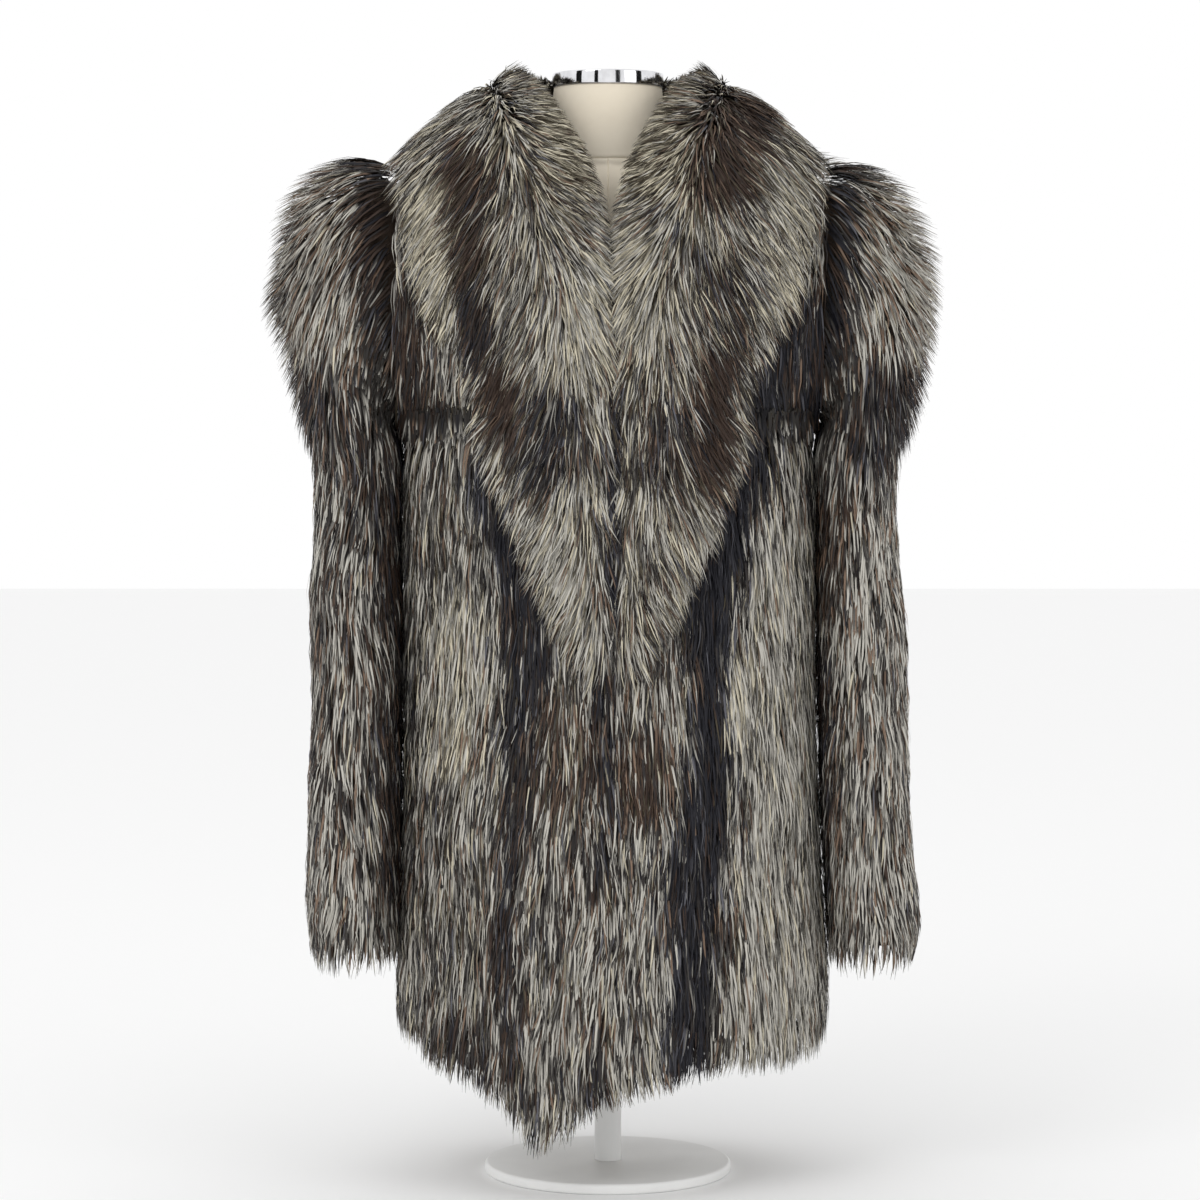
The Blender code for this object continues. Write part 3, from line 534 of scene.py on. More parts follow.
# ---- node helpers ----------------------------------------------------------------------------------
class Socket:
    """An output socket that adds Math nodes when it is used in an expression."""

    def __init__(self, builder, socket):
        self.builder = builder
        self.socket = socket

    def math(self, operation, *others):
        return self.builder.add("ShaderNodeMath", {"operation": operation}, self, *others)

    def __add__(self, other):
        return self.math("ADD", other)

    def __radd__(self, other):
        return self.math("ADD", other)

    def __sub__(self, other):
        return self.math("SUBTRACT", other)

    def __rsub__(self, other):
        return self.builder.add("ShaderNodeMath", {"operation": "SUBTRACT"}, other, self)

    def __mul__(self, other):
        return self.math("MULTIPLY", other)

    def __rmul__(self, other):
        return self.math("MULTIPLY", other)

    def __truediv__(self, other):
        return self.math("DIVIDE", other)

    def __rtruediv__(self, other):
        return self.builder.add("ShaderNodeMath", {"operation": "DIVIDE"}, other, self)

    def __pow__(self, other):
        return self.math("POWER", other)

    def below(self, other):
        return self.math("LESS_THAN", other)

    def rise(self, low, high):
        """Smooth step from 0 at low to 1 at high."""
        settings = {"interpolation_type": "SMOOTHSTEP"}
        return self.builder.add("ShaderNodeMapRange", settings, self, low, high, 0.0, 1.0)


class Builder:
    """Adds nodes to a tree: settings first, then the values or links of the node's sockets."""

    def __init__(self, tree):
        self.tree = tree

    def add(self, kind, settings=None, *values, output=0, **named):
        """The chosen output of a new node; a socket's name has _ for each blank."""
        node = self.tree.nodes.new(kind)
        for name, value in (settings or {}).items():
            setattr(node, name, value)
        for place, value in list(enumerate(values)) + list(named.items()):
            if value is None:
                continue
            socket = node.inputs[place if isinstance(place, int) else place.replace("_", " ")]
            if isinstance(value, Socket):
                self.tree.links.new(value.socket, socket)
            else:
                socket.default_value = value
        return Socket(self, node.outputs[output])

    def join(self, source, node, place):
        self.tree.links.new(source.socket, node.inputs[place])

    def split(self, vector):
        """The x, y and z of a vector."""
        node = self.add("ShaderNodeSeparateXYZ", None, vector).socket.node
        return [Socket(self, output) for output in node.outputs]

    def mix(self, factor, first, second):
        """A colour between two others, each a socket or its red, green and blue."""
        colours = [value if isinstance(value, Socket) else (*value, 1.0) for value in (first, second)]
        return self.add("ShaderNodeMix", {"data_type": "RGBA"}, factor, *[None] * 5, *colours, output=2)


def new_material(name, roughness, metallic=0.0, specular=0.5):
    material = bpy.data.materials.new(name)
    material.use_nodes = True
    shader = material.node_tree.nodes["Principled BSDF"]
    shader.inputs["Roughness"].default_value = roughness
    shader.inputs["Metallic"].default_value = metallic
    shader.inputs["Specular IOR Level"].default_value = specular
    return material, Builder(material.node_tree), shader


# ---- materials -------------------------------------------------------------------------------------
FAMILIES = ("silver", "cream", "brown", "blue")
# The dark parts of a hair; its light band is a setting.
HairShade = namedtuple("HairShade", "root dark tip")
HAIR_SHADES = {
    "silver": HairShade((0.030, 0.027, 0.024), (0.026, 0.022, 0.021), (0.19, 0.180, 0.160)),
    "cream": HairShade((0.045, 0.036, 0.024), (0.060, 0.048, 0.030), (0.30, 0.27, 0.20)),
    "brown": HairShade((0.030, 0.020, 0.015), (0.040, 0.024, 0.017), (0.12, 0.08, 0.055)),
    "blue": HairShade((0.012, 0.011, 0.013), (0.012, 0.012, 0.017), (0.05, 0.05, 0.06)),
}


def chosen_colour(name):
    """Red, green and blue of a colour among the settings."""
    return tuple(getattr(bpy.context.scene.coat_finishes, name))


def fur_material():
    """Colour of a hair from its own map: across the map its tone, up the map its kind and its length."""
    material, nodes, shader = new_material("fox_fur_finish", 0.62, specular=0.25)
    place = nodes.add("ShaderNodeUVMap", {"uv_map": "OFBake"})
    tone, up, _ = nodes.split(place)
    row = up * float(len(FAMILIES))
    family = row.math("FLOOR")
    along = row - family
    band = along.rise(0.16, 0.42)
    end = along.rise(0.70, 0.98)
    light = tone.rise(0.05, 0.95)
    colour = None
    for index, name in enumerate(FAMILIES):
        shade = HAIR_SHADES[name]
        bright = nodes.mix(end, chosen_colour(name + "_hair"), shade.tip)
        lit = nodes.mix(light, shade.dark, bright)
        hair = nodes.mix(band, shade.root, lit)
        chosen = family.math("COMPARE", float(index), 0.5)
        colour = hair if colour is None else nodes.mix(chosen, colour, hair)
    nodes.join(colour, shader, "Base Color")
    return material


def leather_material():
    material, nodes, shader = new_material("pelt_leather_finish", 0.8, specular=0.2)
    place = nodes.add("ShaderNodeTexCoord", output=3)
    cloud = nodes.add("ShaderNodeTexNoise", None, place, Scale=45.0, Detail=6.0)
    grain = nodes.add("ShaderNodeTexNoise", None, place, Scale=420.0, Detail=3.0)
    colour = nodes.mix(cloud.rise(0.3, 0.7), (0.055, 0.038, 0.028), chosen_colour("leather"))
    nodes.join(colour, shader, "Base Color")
    bump = nodes.add("ShaderNodeBump", None, Strength=0.25, Distance=0.0005, Height=grain)
    nodes.join(bump, shader, "Normal")
    return material


THREAD_TURNS = 9000.0      # radians of weave in a metre, which makes a thread 0.35 mm wide


def linen_material():
    """Plain woven linen: threads both ways, with slubs and faint soiling."""
    material, nodes, shader = new_material("form_linen_finish", 0.9, specular=0.15)
    place = nodes.add("ShaderNodeTexCoord", output=3)
    x, y, z = nodes.split(place)
    turn = y.math("ARCTAN2", x) * NECK_RADIUS
    slub = nodes.add("ShaderNodeTexNoise", None, place, Scale=160.0, Detail=4.0)
    cloud = nodes.add("ShaderNodeTexNoise", None, place, Scale=14.0, Detail=4.0)
    warp = ((turn * THREAD_TURNS) + slub * 4.0).math("SINE")
    weft = ((z * THREAD_TURNS) + slub * 4.0).math("SINE")
    weave = (warp * weft) * 0.5 + 0.5
    base = nodes.mix(cloud.rise(0.3, 0.75), chosen_colour("linen"), (0.88, 0.79, 0.64))
    colour = nodes.mix(weave * 0.16 + slub * 0.2, base, (0.76, 0.67, 0.52))
    nodes.join(colour, shader, "Base Color")
    bump = nodes.add("ShaderNodeBump", None, Strength=0.35, Distance=0.0003, Height=weave)
    nodes.join(bump, shader, "Normal")
    return material


def chrome_material():
    material, nodes, shader = new_material("cap_chrome_finish", 0.08, metallic=1.0)
    place = nodes.add("ShaderNodeTexCoord", output=3)
    wear = nodes.add("ShaderNodeTexNoise", None, place, Scale=70.0, Detail=5.0)
    colour = nodes.mix(wear.rise(0.35, 0.7), chosen_colour("chrome"), (0.72, 0.72, 0.74))
    nodes.join(colour, shader, "Base Color")
    nodes.join(wear.rise(0.4, 0.8) * 0.08 + 0.05, shader, "Roughness")
    return material


def paint_material():
    material, nodes, shader = new_material("stand_paint_finish", 0.45)
    place = nodes.add("ShaderNodeTexCoord", output=3)
    mottle = nodes.add("ShaderNodeTexNoise", None, place, Scale=380.0, Detail=2.0)
    cloud = nodes.add("ShaderNodeTexNoise", None, place, Scale=12.0, Detail=3.0)
    colour = nodes.mix(cloud.rise(0.35, 0.7), chosen_colour("paint"), (0.78, 0.78, 0.77))
    nodes.join(colour, shader, "Base Color")
    nodes.join(mottle * 0.12 + 0.38, shader, "Roughness")
    bump = nodes.add("ShaderNodeBump", None, Strength=0.2, Distance=0.0002, Height=mottle)
    nodes.join(bump, shader, "Normal")
    return material


MATERIAL_MAKERS = {
    "fox_fur": fur_material,
    "pelt_leather": leather_material,
    "form_linen": linen_material,
    "cap_chrome": chrome_material,
    "stand_paint": paint_material,
}
MATERIALS = {}


def finish(slot):
    if slot not in MATERIALS:
        MATERIALS[slot] = MATERIAL_MAKERS[slot]()
    return MATERIALS[slot]


# ---- meshes ----------------------------------------------------------------------------------------
def add_object(name, mesh, slot, smooth_faces=True):
    mesh.materials.clear()
    mesh.materials.append(finish(slot))
    if smooth_faces:
        mesh.shade_smooth()
    item = bpy.data.objects.new(name, mesh)
    bpy.context.scene.collection.objects.link(item)
    return item


def wall_mesh(name, outer, inner, closed=False):
    """One closed wall between two equal grids; closed joins the first and the last column."""
    rows, columns = outer.shape[:2]
    mesh = bmesh.new()
    skins = [[[mesh.verts.new(point) for point in row] for row in grid] for grid in (outer, inner)]
    steps = columns if closed else columns - 1
    for skin in skins:
        for row in range(rows - 1):
            for step in range(steps):
                after = (step + 1) % columns
                mesh.faces.new((skin[row][step], skin[row][after], skin[row + 1][after], skin[row + 1][step]))
    rims = [((row, step), (row, (step + 1) % columns)) for row in (0, rows - 1) for step in range(steps)]
    if not closed:
        rims += [((row, step), (row + 1, step)) for step in (0, columns - 1) for row in range(rows - 1)]
    for (row_a, step_a), (row_b, step_b) in rims:
        mesh.faces.new((
            skins[0][row_a][step_a], skins[0][row_b][step_b],
            skins[1][row_b][step_b], skins[1][row_a][step_a],
        ))
    bmesh.ops.recalc_face_normals(mesh, faces=mesh.faces)
    data = bpy.data.meshes.new(name)
    mesh.to_mesh(data)
    mesh.free()
    return data


# ---- fur -------------------------------------------------------------------------------------------
FurBed = namedtuple("FurBed", "points comb normal reach rise cover zone closed")
KEPT_ATTRIBUTES = ("OFBake", "sharp_face", "material_index")


def bed_mesh(name, bed):
    """The surface that hair grows from, with the hair's direction, length and shades at each point."""
    rows, columns = bed.points.shape[:2]
    steps = columns if bed.closed else columns - 1
    row, step = np.meshgrid(np.arange(rows - 1), np.arange(steps), indexing="ij")
    after = (step + 1) % columns
    corners = ((row, step), (row, after), (row + 1, after), (row + 1, step))
    faces = np.stack([line * columns + place for line, place in corners], axis=-1).reshape(-1, 4)
    data = bpy.data.meshes.new(name)
    data.from_pydata(bed.points.reshape(-1, 3).tolist(), [], faces.tolist())
    shades = coat_shades(bed.zone, bed.points)
    fields = {
        "reach": bed.reach, "rise": bed.rise, "cover": bed.cover,
        "light": shades[..., 0], "brown": shades[..., 1], "blue": shades[..., 2], "cream": shades[..., 3],
    }
    for field, values in fields.items():
        attribute = data.attributes.new(field, "FLOAT", "POINT")
        attribute.data.foreach_set("value", values.ravel().astype(np.float32))
    for field, values in (("comb", bed.comb), ("outward", bed.normal)):
        attribute = data.attributes.new(field, "FLOAT_VECTOR", "POINT")
        attribute.data.foreach_set("vector", values.ravel().astype(np.float32))
    return data


FUR_INPUTS = (
    ("Hairs per square metre", "NodeSocketFloat", 120000.0),
    ("Hair width", "NodeSocketFloat", 0.0016),
    ("Lock size", "NodeSocketFloat", 0.012),
    ("Lock pull", "NodeSocketFloat", 0.30),
    ("Stray", "NodeSocketFloat", 0.10),
    ("Seed", "NodeSocketInt", 1),
    ("Finish", "NodeSocketMaterial", None),
)


class FurBuilder(Builder):
    """Adds the geometry nodes that fur is grown with."""

    def named(self, field, kind="FLOAT"):
        return self.add("GeometryNodeInputNamedAttribute", {"data_type": kind}, field)

    def vector(self, operation, *values, output=0):
        return self.add("ShaderNodeVectorMath", {"operation": operation}, *values, output=output)

    def scaled(self, value, factor):
        return self.vector("SCALE", value, None, None, factor)

    def random_value(self, seed, low, high, salt):
        """A number for each hair; hairs differ, and so do the numbers of different salts."""
        settings = {"data_type": "FLOAT"}
        mixed = seed * 17.0 + float(salt)
        return self.add("FunctionNodeRandomValue", settings, None, None, low, high, Seed=mixed, output=1)

    def store(self, geometry, field, value, kind="FLOAT", domain="POINT"):
        settings = {"data_type": kind, "domain": domain}
        return self.add("GeometryNodeStoreNamedAttribute", settings, geometry, None, field, value)


def hair_direction(nodes, given, place, outward):
    """Direction of each hair: combed, pulled into locks, with a little stray."""
    middle = (0.5, 0.5, 0.5)
    lock_scale = 1.0 / given["Lock size"]
    settings = {"noise_dimensions": "3D"}
    lock = nodes.add("ShaderNodeTexNoise", settings, place, Scale=lock_scale, Detail=1.0, output=1)
    pull = nodes.scaled(nodes.vector("SUBTRACT", lock, middle), given["Lock pull"] * 2.0)
    wave = nodes.add("ShaderNodeTexNoise", None, place, Scale=lock_scale * 0.22, Detail=1.0, output=1)
    sway = nodes.scaled(nodes.vector("SUBTRACT", wave, middle), given["Lock pull"] * 1.6)
    chances = (nodes.random_value(given["Seed"], -1.0, 1.0, salt) for salt in (1, 2, 3))
    stray = nodes.scaled(nodes.add("ShaderNodeCombineXYZ", None, *chances), given["Stray"])
    comb = nodes.named("comb", "FLOAT_VECTOR")
    flat = nodes.vector("ADD", nodes.vector("ADD", comb, pull), nodes.vector("ADD", sway, stray))
    inward = nodes.vector("DOT_PRODUCT", flat, outward, output=1)
    flat = nodes.vector("NORMALIZE", nodes.vector("SUBTRACT", flat, nodes.scaled(outward, inward)))
    lift = nodes.add("ShaderNodeTexNoise", None, place, Scale=lock_scale * 0.8, Detail=2.0)
    tilt = nodes.named("rise") * (nodes.random_value(given["Seed"], 0.65, 1.35, 4) + (lift - 0.5) * 1.2)
    level = nodes.scaled(flat, tilt.math("COSINE"))
    return nodes.vector("ADD", level, nodes.scaled(outward, tilt.math("SINE")))


def hair_tone_and_family(nodes, given, place):
    """How light each hair is, and the place of its kind in FAMILIES."""
    streak = nodes.vector("MULTIPLY", place, (1.0, 1.0, 0.20))
    streaks = nodes.add("ShaderNodeTexNoise", None, streak, Scale=150.0, Detail=2.0, Roughness=0.6)
    cloud = nodes.add("ShaderNodeTexNoise", None, streak, Scale=38.0, Detail=2.0)
    chance = nodes.random_value(given["Seed"], -0.48, 0.48, 8)
    mottled = nodes.named("light") + (streaks - 0.5) * 1.3 + (cloud - 0.5) * 0.45 + chance
    tone = mottled.rise(0.20, 0.85) * 0.94 + 0.03
    draw = nodes.random_value(given["Seed"], 0.0, 1.0, 9)
    brown, blue, cream = nodes.named("brown"), nodes.named("blue"), nodes.named("cream")
    is_brown = draw.below(brown)
    to_blue = draw.below(brown + blue)
    to_cream = draw.below(brown + blue + cream)
    places = {name: float(index) for index, name in enumerate(FAMILIES)}
    family = is_brown * places["brown"] + (to_blue - is_brown) * places["blue"]
    return tone, family + (to_cream - to_blue) * places["cream"]


def hair_strip(nodes, place):
    """One hair: a strip that narrows to its tip and bows away from the bed."""
    strip = nodes.add("GeometryNodeMeshGrid", None, 1.0, 1.0, 2, 4)
    strip_x, low_y, _ = nodes.split(place)
    strip_y = low_y + 0.5
    narrow = 1.0 - (strip_y**2.2) * 0.90
    bow = (strip_y - strip_y * strip_y) * 0.42
    shaped = nodes.add("ShaderNodeCombineXYZ", None, strip_x * narrow, strip_y, bow)
    for field, value in (("strip_side", strip_x + 0.5), ("strip_along", strip_y)):
        strip = nodes.store(strip, field, value)
    return nodes.add("GeometryNodeSetPosition", None, strip, None, shaped)


def fur_tree():
    """Geometry nodes that grow tapered hairs on a bed and leave them as one plain mesh."""
    tree = bpy.data.node_groups.new("grow_fur", "GeometryNodeTree")
    tree.interface.new_socket("Bed", in_out="INPUT", socket_type="NodeSocketGeometry")
    for name, kind, value in FUR_INPUTS:
        socket = tree.interface.new_socket(name, in_out="INPUT", socket_type=kind)
        if value is not None:
            socket.default_value = value
    tree.interface.new_socket("Fur", in_out="OUTPUT", socket_type="NodeSocketGeometry")
    nodes = FurBuilder(tree)
    entry = tree.nodes.new("NodeGroupInput")
    given = {item.name: Socket(nodes, item) for item in entry.outputs if item.name}
    seed = given["Seed"]

    place = nodes.add("GeometryNodeInputPosition")
    density = given["Hairs per square metre"] * nodes.named("cover")
    settings = {"distribute_method": "RANDOM"}
    scatter = "GeometryNodeDistributePointsOnFaces"
    points = nodes.add(scatter, settings, Mesh=given["Bed"], Density=density, Seed=seed)

    outward = nodes.named("outward", "FLOAT_VECTOR")
    along = hair_direction(nodes, given, place, outward)
    sideways = nodes.vector("CROSS_PRODUCT", along, outward)
    face = nodes.vector("ADD", outward, nodes.scaled(sideways, nodes.random_value(seed, -0.9, 0.9, 5)))
    axes = {"primary_axis": "Y", "secondary_axis": "Z"}
    turned = nodes.add("FunctionNodeAxesToRotation", axes, along, face)
    length = nodes.named("reach") * nodes.random_value(seed, 0.72, 1.12, 6)
    width = given["Hair width"] * nodes.random_value(seed, 0.6, 1.35, 7)
    size = nodes.add("ShaderNodeCombineXYZ", None, width, length, length)

    tone, family = hair_tone_and_family(nodes, given, place)
    for field, value in (("tone", tone), ("family", family)):
        points = nodes.store(points, field, value)
    shape = hair_strip(nodes, place)
    on_points = "GeometryNodeInstanceOnPoints"
    fur = nodes.add(on_points, None, Points=points, Instance=shape, Rotation=turned, Scale=size)
    fur = nodes.add("GeometryNodeRealizeInstances", None, fur)

    # the map that the finish reads: tone across, kind and length up
    across = nodes.named("tone") + (nodes.named("strip_side") - 0.5) * 0.004
    up = (nodes.named("family") + 0.02 + nodes.named("strip_along") * 0.96) / float(len(FAMILIES))
    chart = nodes.add("ShaderNodeCombineXYZ", None, across, up)
    fur = nodes.store(fur, "OFBake", chart, kind="FLOAT2", domain="CORNER")
    fur = nodes.add("GeometryNodeSetShadeSmooth", None, fur)
    fur = nodes.add("GeometryNodeSetMaterial", None, fur, None, given["Finish"])
    nodes.join(fur, tree.nodes.new("NodeGroupOutput"), 0)
    return tree


def grow_fur(name, bed, settings, seed, hair_share):
    """Grows one fur piece on its bed and returns it as a plain mesh object."""
    tree = bpy.data.node_groups.get("grow_fur") or fur_tree()
    data = bed_mesh(name + "_bed", bed)
    grower = bpy.data.objects.new(name + "_bed", data)
    bpy.context.scene.collection.objects.link(grower)
    area = sum(polygon.area * cover for polygon, cover in zip(data.polygons, face_cover(data)))
    modifier = grower.modifiers.new("fur", "NODES")
    modifier.node_group = tree
    values = {
        "Hairs per square metre": settings.hairs * hair_share / area,
        "Hair width": settings.hair_width,
        "Lock size": settings.lock_size,
        "Lock pull": settings.lock_pull,
        "Stray": settings.stray,
        "Seed": seed,
        "Finish": finish("fox_fur"),
    }
    for item in tree.interface.items_tree:
        if item.item_type == "SOCKET" and item.in_out == "INPUT" and item.name in values:
            modifier[item.identifier] = values[item.name]
    depsgraph = bpy.context.evaluated_depsgraph_get()
    mesh = bpy.data.meshes.new_from_object(grower.evaluated_get(depsgraph), depsgraph=depsgraph)
    bpy.data.objects.remove(grower, do_unlink=True)
    for attribute in list(mesh.attributes):
        own = attribute.is_internal or attribute.is_required or attribute.name in KEPT_ATTRIBUTES
        if not own:
            mesh.attributes.remove(attribute)
    mesh.name = name
    return add_object(name, mesh, "fox_fur", smooth_faces=False)


def face_cover(data):
    cover = np.zeros(len(data.vertices), dtype=np.float32)
    data.attributes["cover"].data.foreach_get("value", cover)
    return [cover[list(polygon.vertices)].mean() for polygon in data.polygons]


# ---- the pieces ------------------------------------------------------------------------------------
ALONG_ROWS = 90
ACROSS_COLUMNS = 40


def fade_in(value, start, width):
    """0 up to start, 1 past start + width, straight between."""
    return np.clip((value - start) / width, 0.0, 1.0)


def fade_out(value, end, width):
    """0 past end, 1 before end - width, straight between."""
    return np.clip((end - value) / width, 0.0, 1.0)


def on_surface(direction, outward):
    """A direction laid flat on the surface, one long."""
    return unit(direction - outward * np.sum(direction * outward, axis=-1, keepdims=True))


def panel_grid(side, face, across, climb, inset):
    return body_points(side, face, across[None, :], climb[:, None], inset)


def panel_skins(node, climb, insets):
    """Grids of a front or of the back at several depths into its wall; the rows run upwards."""
    across = np.linspace(0.0, 1.0, ACROSS_COLUMNS + 1)
    skins = []
    for inset in insets:
        if node == "back":
            right = panel_grid(-1, 1, across[::-1], climb, inset)
            left = panel_grid(1, 1, across, climb, inset)
            skins.append(np.concatenate([right, left[:, 1:]], axis=1))
        else:
            skins.append(panel_grid(1 if node == "front_left" else -1, -1, across, climb, inset))
    return skins


def downward(outward):
    """The way straight down, laid flat on the surface."""
    down = np.zeros_like(outward)
    down[..., 2] = -1.0
    return down - outward * (outward @ np.array([0.0, 0.0, -1.0]))[..., None]


def body_bed(node, settings):
    climb = np.linspace(settings.hem_rise * HEM_START, 1.0, ALONG_ROWS)
    outer, bed, inner = panel_skins(node, climb, (0.0, settings.depth, BODY_WALL))
    outward = unit(outer - inner)
    comb = unit(downward(outward) + 1e-6)
    hem = panel_skins(node, np.array([0.0]), (0.0,))[0][0, :, 2]
    reach = np.clip(bed[..., 2] - hem + HEM_OVERHANG, SHORTEST_HAIR, settings.length)
    rise = np.full(bed.shape[:2], math.radians(settings.lift_angle))
    cover = np.ones(bed.shape[:2])
    zone = "back" if node == "back" else "front"
    return FurBed(bed, comb, outward, reach, rise, cover, zone, False)


def sleeve_skin(side, down, share):
    around = np.linspace(0.0, 1.0, 48, endpoint=False)
    return sleeve_points(side, around, down, share)


def sleeve_bed(side, settings):
    down = np.concatenate([np.linspace(0.02, 1.0, 44), np.linspace(1.02, SLEEVE_FUR_END, 46)])
    shares = (0.0, SLEEVE_BED, SLEEVE_HEAD_BED, 1.0)
    outer, full, sunk, inner = (sleeve_skin(side, down, share) for share in shares)
    bed = full + (sunk - full) * fade_in(np.abs(outer[..., 0:1]), 0.272, 0.02)
    outward = unit(outer - inner)
    run = np.gradient(bed, axis=0)
    steep = np.clip(np.linalg.norm(run, axis=-1, keepdims=True) / SLEEVE_STEEP, 0.0, 1.0)
    comb = on_surface(unit(run) * steep * SLEEVE_RUN + downward(outward), outward)
    shape = bed.shape[:2]
    above_cuff = fade_out(down, 2.0, 0.25)[:, None]
    outermost = fade_in(np.abs(bed[..., 0]), 0.262, 0.02)
    reach = settings.length * (CUFF_LENGTH + (1.0 - CUFF_LENGTH) * above_cuff) * np.ones(shape)
    reach = reach * (1.0 - 0.25 * outermost)
    rise = np.radians(settings.lift_angle) * (1.0 - 0.7 * outermost)
    return FurBed(bed, comb, outward, reach, rise, np.ones(shape), "sleeve", True)


def collar_bed(side, settings):
    """The collar's fur parts along its roll: inwards to the neck, and outwards and down to its edge."""
    under, top = collar_grids(side, 8, 26)
    normal = grid_normals(top)
    outward = normal * np.sign(np.sum(normal * unit(top - under), axis=-1, keepdims=True).mean())
    bed = top - outward * COLLAR_BED
    over = unit(np.gradient(top, axis=1))
    share = np.linspace(0.0, 1.0, top.shape[1])[None, :] * np.ones(top.shape[:2])
    part = fade_in(share, PARTING, PARTING_WIDTH)
    part = part * part * (3.0 - 2.0 * part)
    low = fade_out(bed[..., 2], 0.90, 0.16)
    across = -0.80 + 0.68 * low + (1.70 - 1.05 * low) * part
    comb = on_surface(over * across[..., None] + downward(outward) * 0.95, outward)
    reach = settings.length * (1.0 - 0.30 * fade_in(share, 0.72, 0.28))
    reach = reach * (1.0 - 0.72 * (1.0 - low) * fade_out(share, 0.42, 0.42))
    reach = reach * (1.0 - 0.22 * fade_in(bed[..., 2], 0.94, 0.04))
    rise = np.radians(settings.lift_angle) * (1.0 + 0.6 * fade_out(np.abs(share - 0.42), 0.5, 0.5))
    cover = 1.0 - 0.5 * fade_in(share, 0.9, 0.1)
    return FurBed(bed, comb, outward, reach, rise, cover, "collar", False)


def pelt_grids(node, settings):
    """Outer and inner grids of a pelt, and whether they close round."""
    if node.startswith("sleeve"):
        side = 1 if node.endswith("left") else -1
        down = np.concatenate([np.linspace(0.0, 1.0, 20), np.linspace(1.05, SLEEVE_PELT_END, 18)])
        return sleeve_skin(side, down, 1.0 - PELT / SLEEVE_WALL), sleeve_skin(side, down, 1.0), True
    if node.startswith("collar"):
        side = 1 if node.endswith("left") else -1
        under, top = collar_grids(side, 4, 14)
        rise = unit(top - under)
        return under + rise * PELT, under, False
    climb = np.linspace(settings.hem_rise, 1.0, 44)
    outer, inner = panel_skins(node, climb, (BODY_WALL - PELT, BODY_WALL))
    return outer, inner, False


def make_cloth_piece(node, settings, seed, hair_share=1.0):
    """One cut piece of the coat: its leather and the fur that grows on it."""
    outer, inner, closed = pelt_grids(node, settings)
    pelt = add_object(node + "_pelt", wall_mesh(node + "_pelt", outer, inner, closed), "pelt_leather")
    if node.startswith("sleeve"):
        bed = sleeve_bed(1 if node.endswith("left") else -1, settings)
    elif node.startswith("collar"):
        bed = collar_bed(1 if node.endswith("left") else -1, settings)
    else:
        bed = body_bed(node, settings)
    fur = grow_fur(node + "_fur", bed, settings, seed, hair_share)
    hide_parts(node)
    for item in (pelt, fur):
        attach(item, "root")


def turned_mesh(name, profile, segments):
    """A closed turned solid from (radius, height) pairs that start and end on the axis."""
    mesh = bmesh.new()
    turn = [2.0 * math.pi * step / segments for step in range(segments)]
    rings = []
    for radius, height in profile:
        if radius == 0.0:
            rings.append([mesh.verts.new((0.0, 0.0, height))])
        else:
            rings.append([mesh.verts.new((radius * math.cos(a), radius * math.sin(a), height)) for a in turn])
    for low, high in zip(rings, rings[1:]):
        for step in range(segments):
            after = (step + 1) % segments
            corners = [low[place % len(low)] for place in (step, after)]
            corners += [high[place % len(high)] for place in (after, step)]
            mesh.faces.new(list(dict.fromkeys(corners)))
    bmesh.ops.recalc_face_normals(mesh, faces=mesh.faces)
    data = bpy.data.meshes.new(name)
    mesh.to_mesh(data)
    mesh.free()
    return data


def turned_piece(name, profile, segments, slot, node):
    put_in_place(add_object(name, turned_mesh(name, profile, segments), slot), node, 40.0)


def put_in_place(item, node, sharp_angle):
    """Lets a hard piece stand for its node, with edges sharper than an angle in degrees kept crisp."""
    item.data.set_sharp_from_angle(angle=math.radians(sharp_angle))
    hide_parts(node)
    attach(item, "root")


def bevelled(radius, low, high, bevel, steps=4):
    """Profile of a disc or a post with rounded outer edges."""
    profile = [(0.0, low), (radius - bevel, low)]
    for step in range(1, steps):
        turn = math.pi / 2 * step / steps
        profile.append((radius - bevel + bevel * math.sin(turn), low + bevel - bevel * math.cos(turn)))
    profile.append((radius, low + bevel))
    profile.append((radius, high - bevel))
    for step in range(1, steps):
        turn = math.pi / 2 * step / steps
        profile.append((radius - bevel + bevel * math.cos(turn), high - bevel + bevel * math.sin(turn)))
    profile += [(radius - bevel, high), (0.0, high)]
    return profile


NECK_SEAM = 0.9408         # height of the linen's seam at the foot of the neck


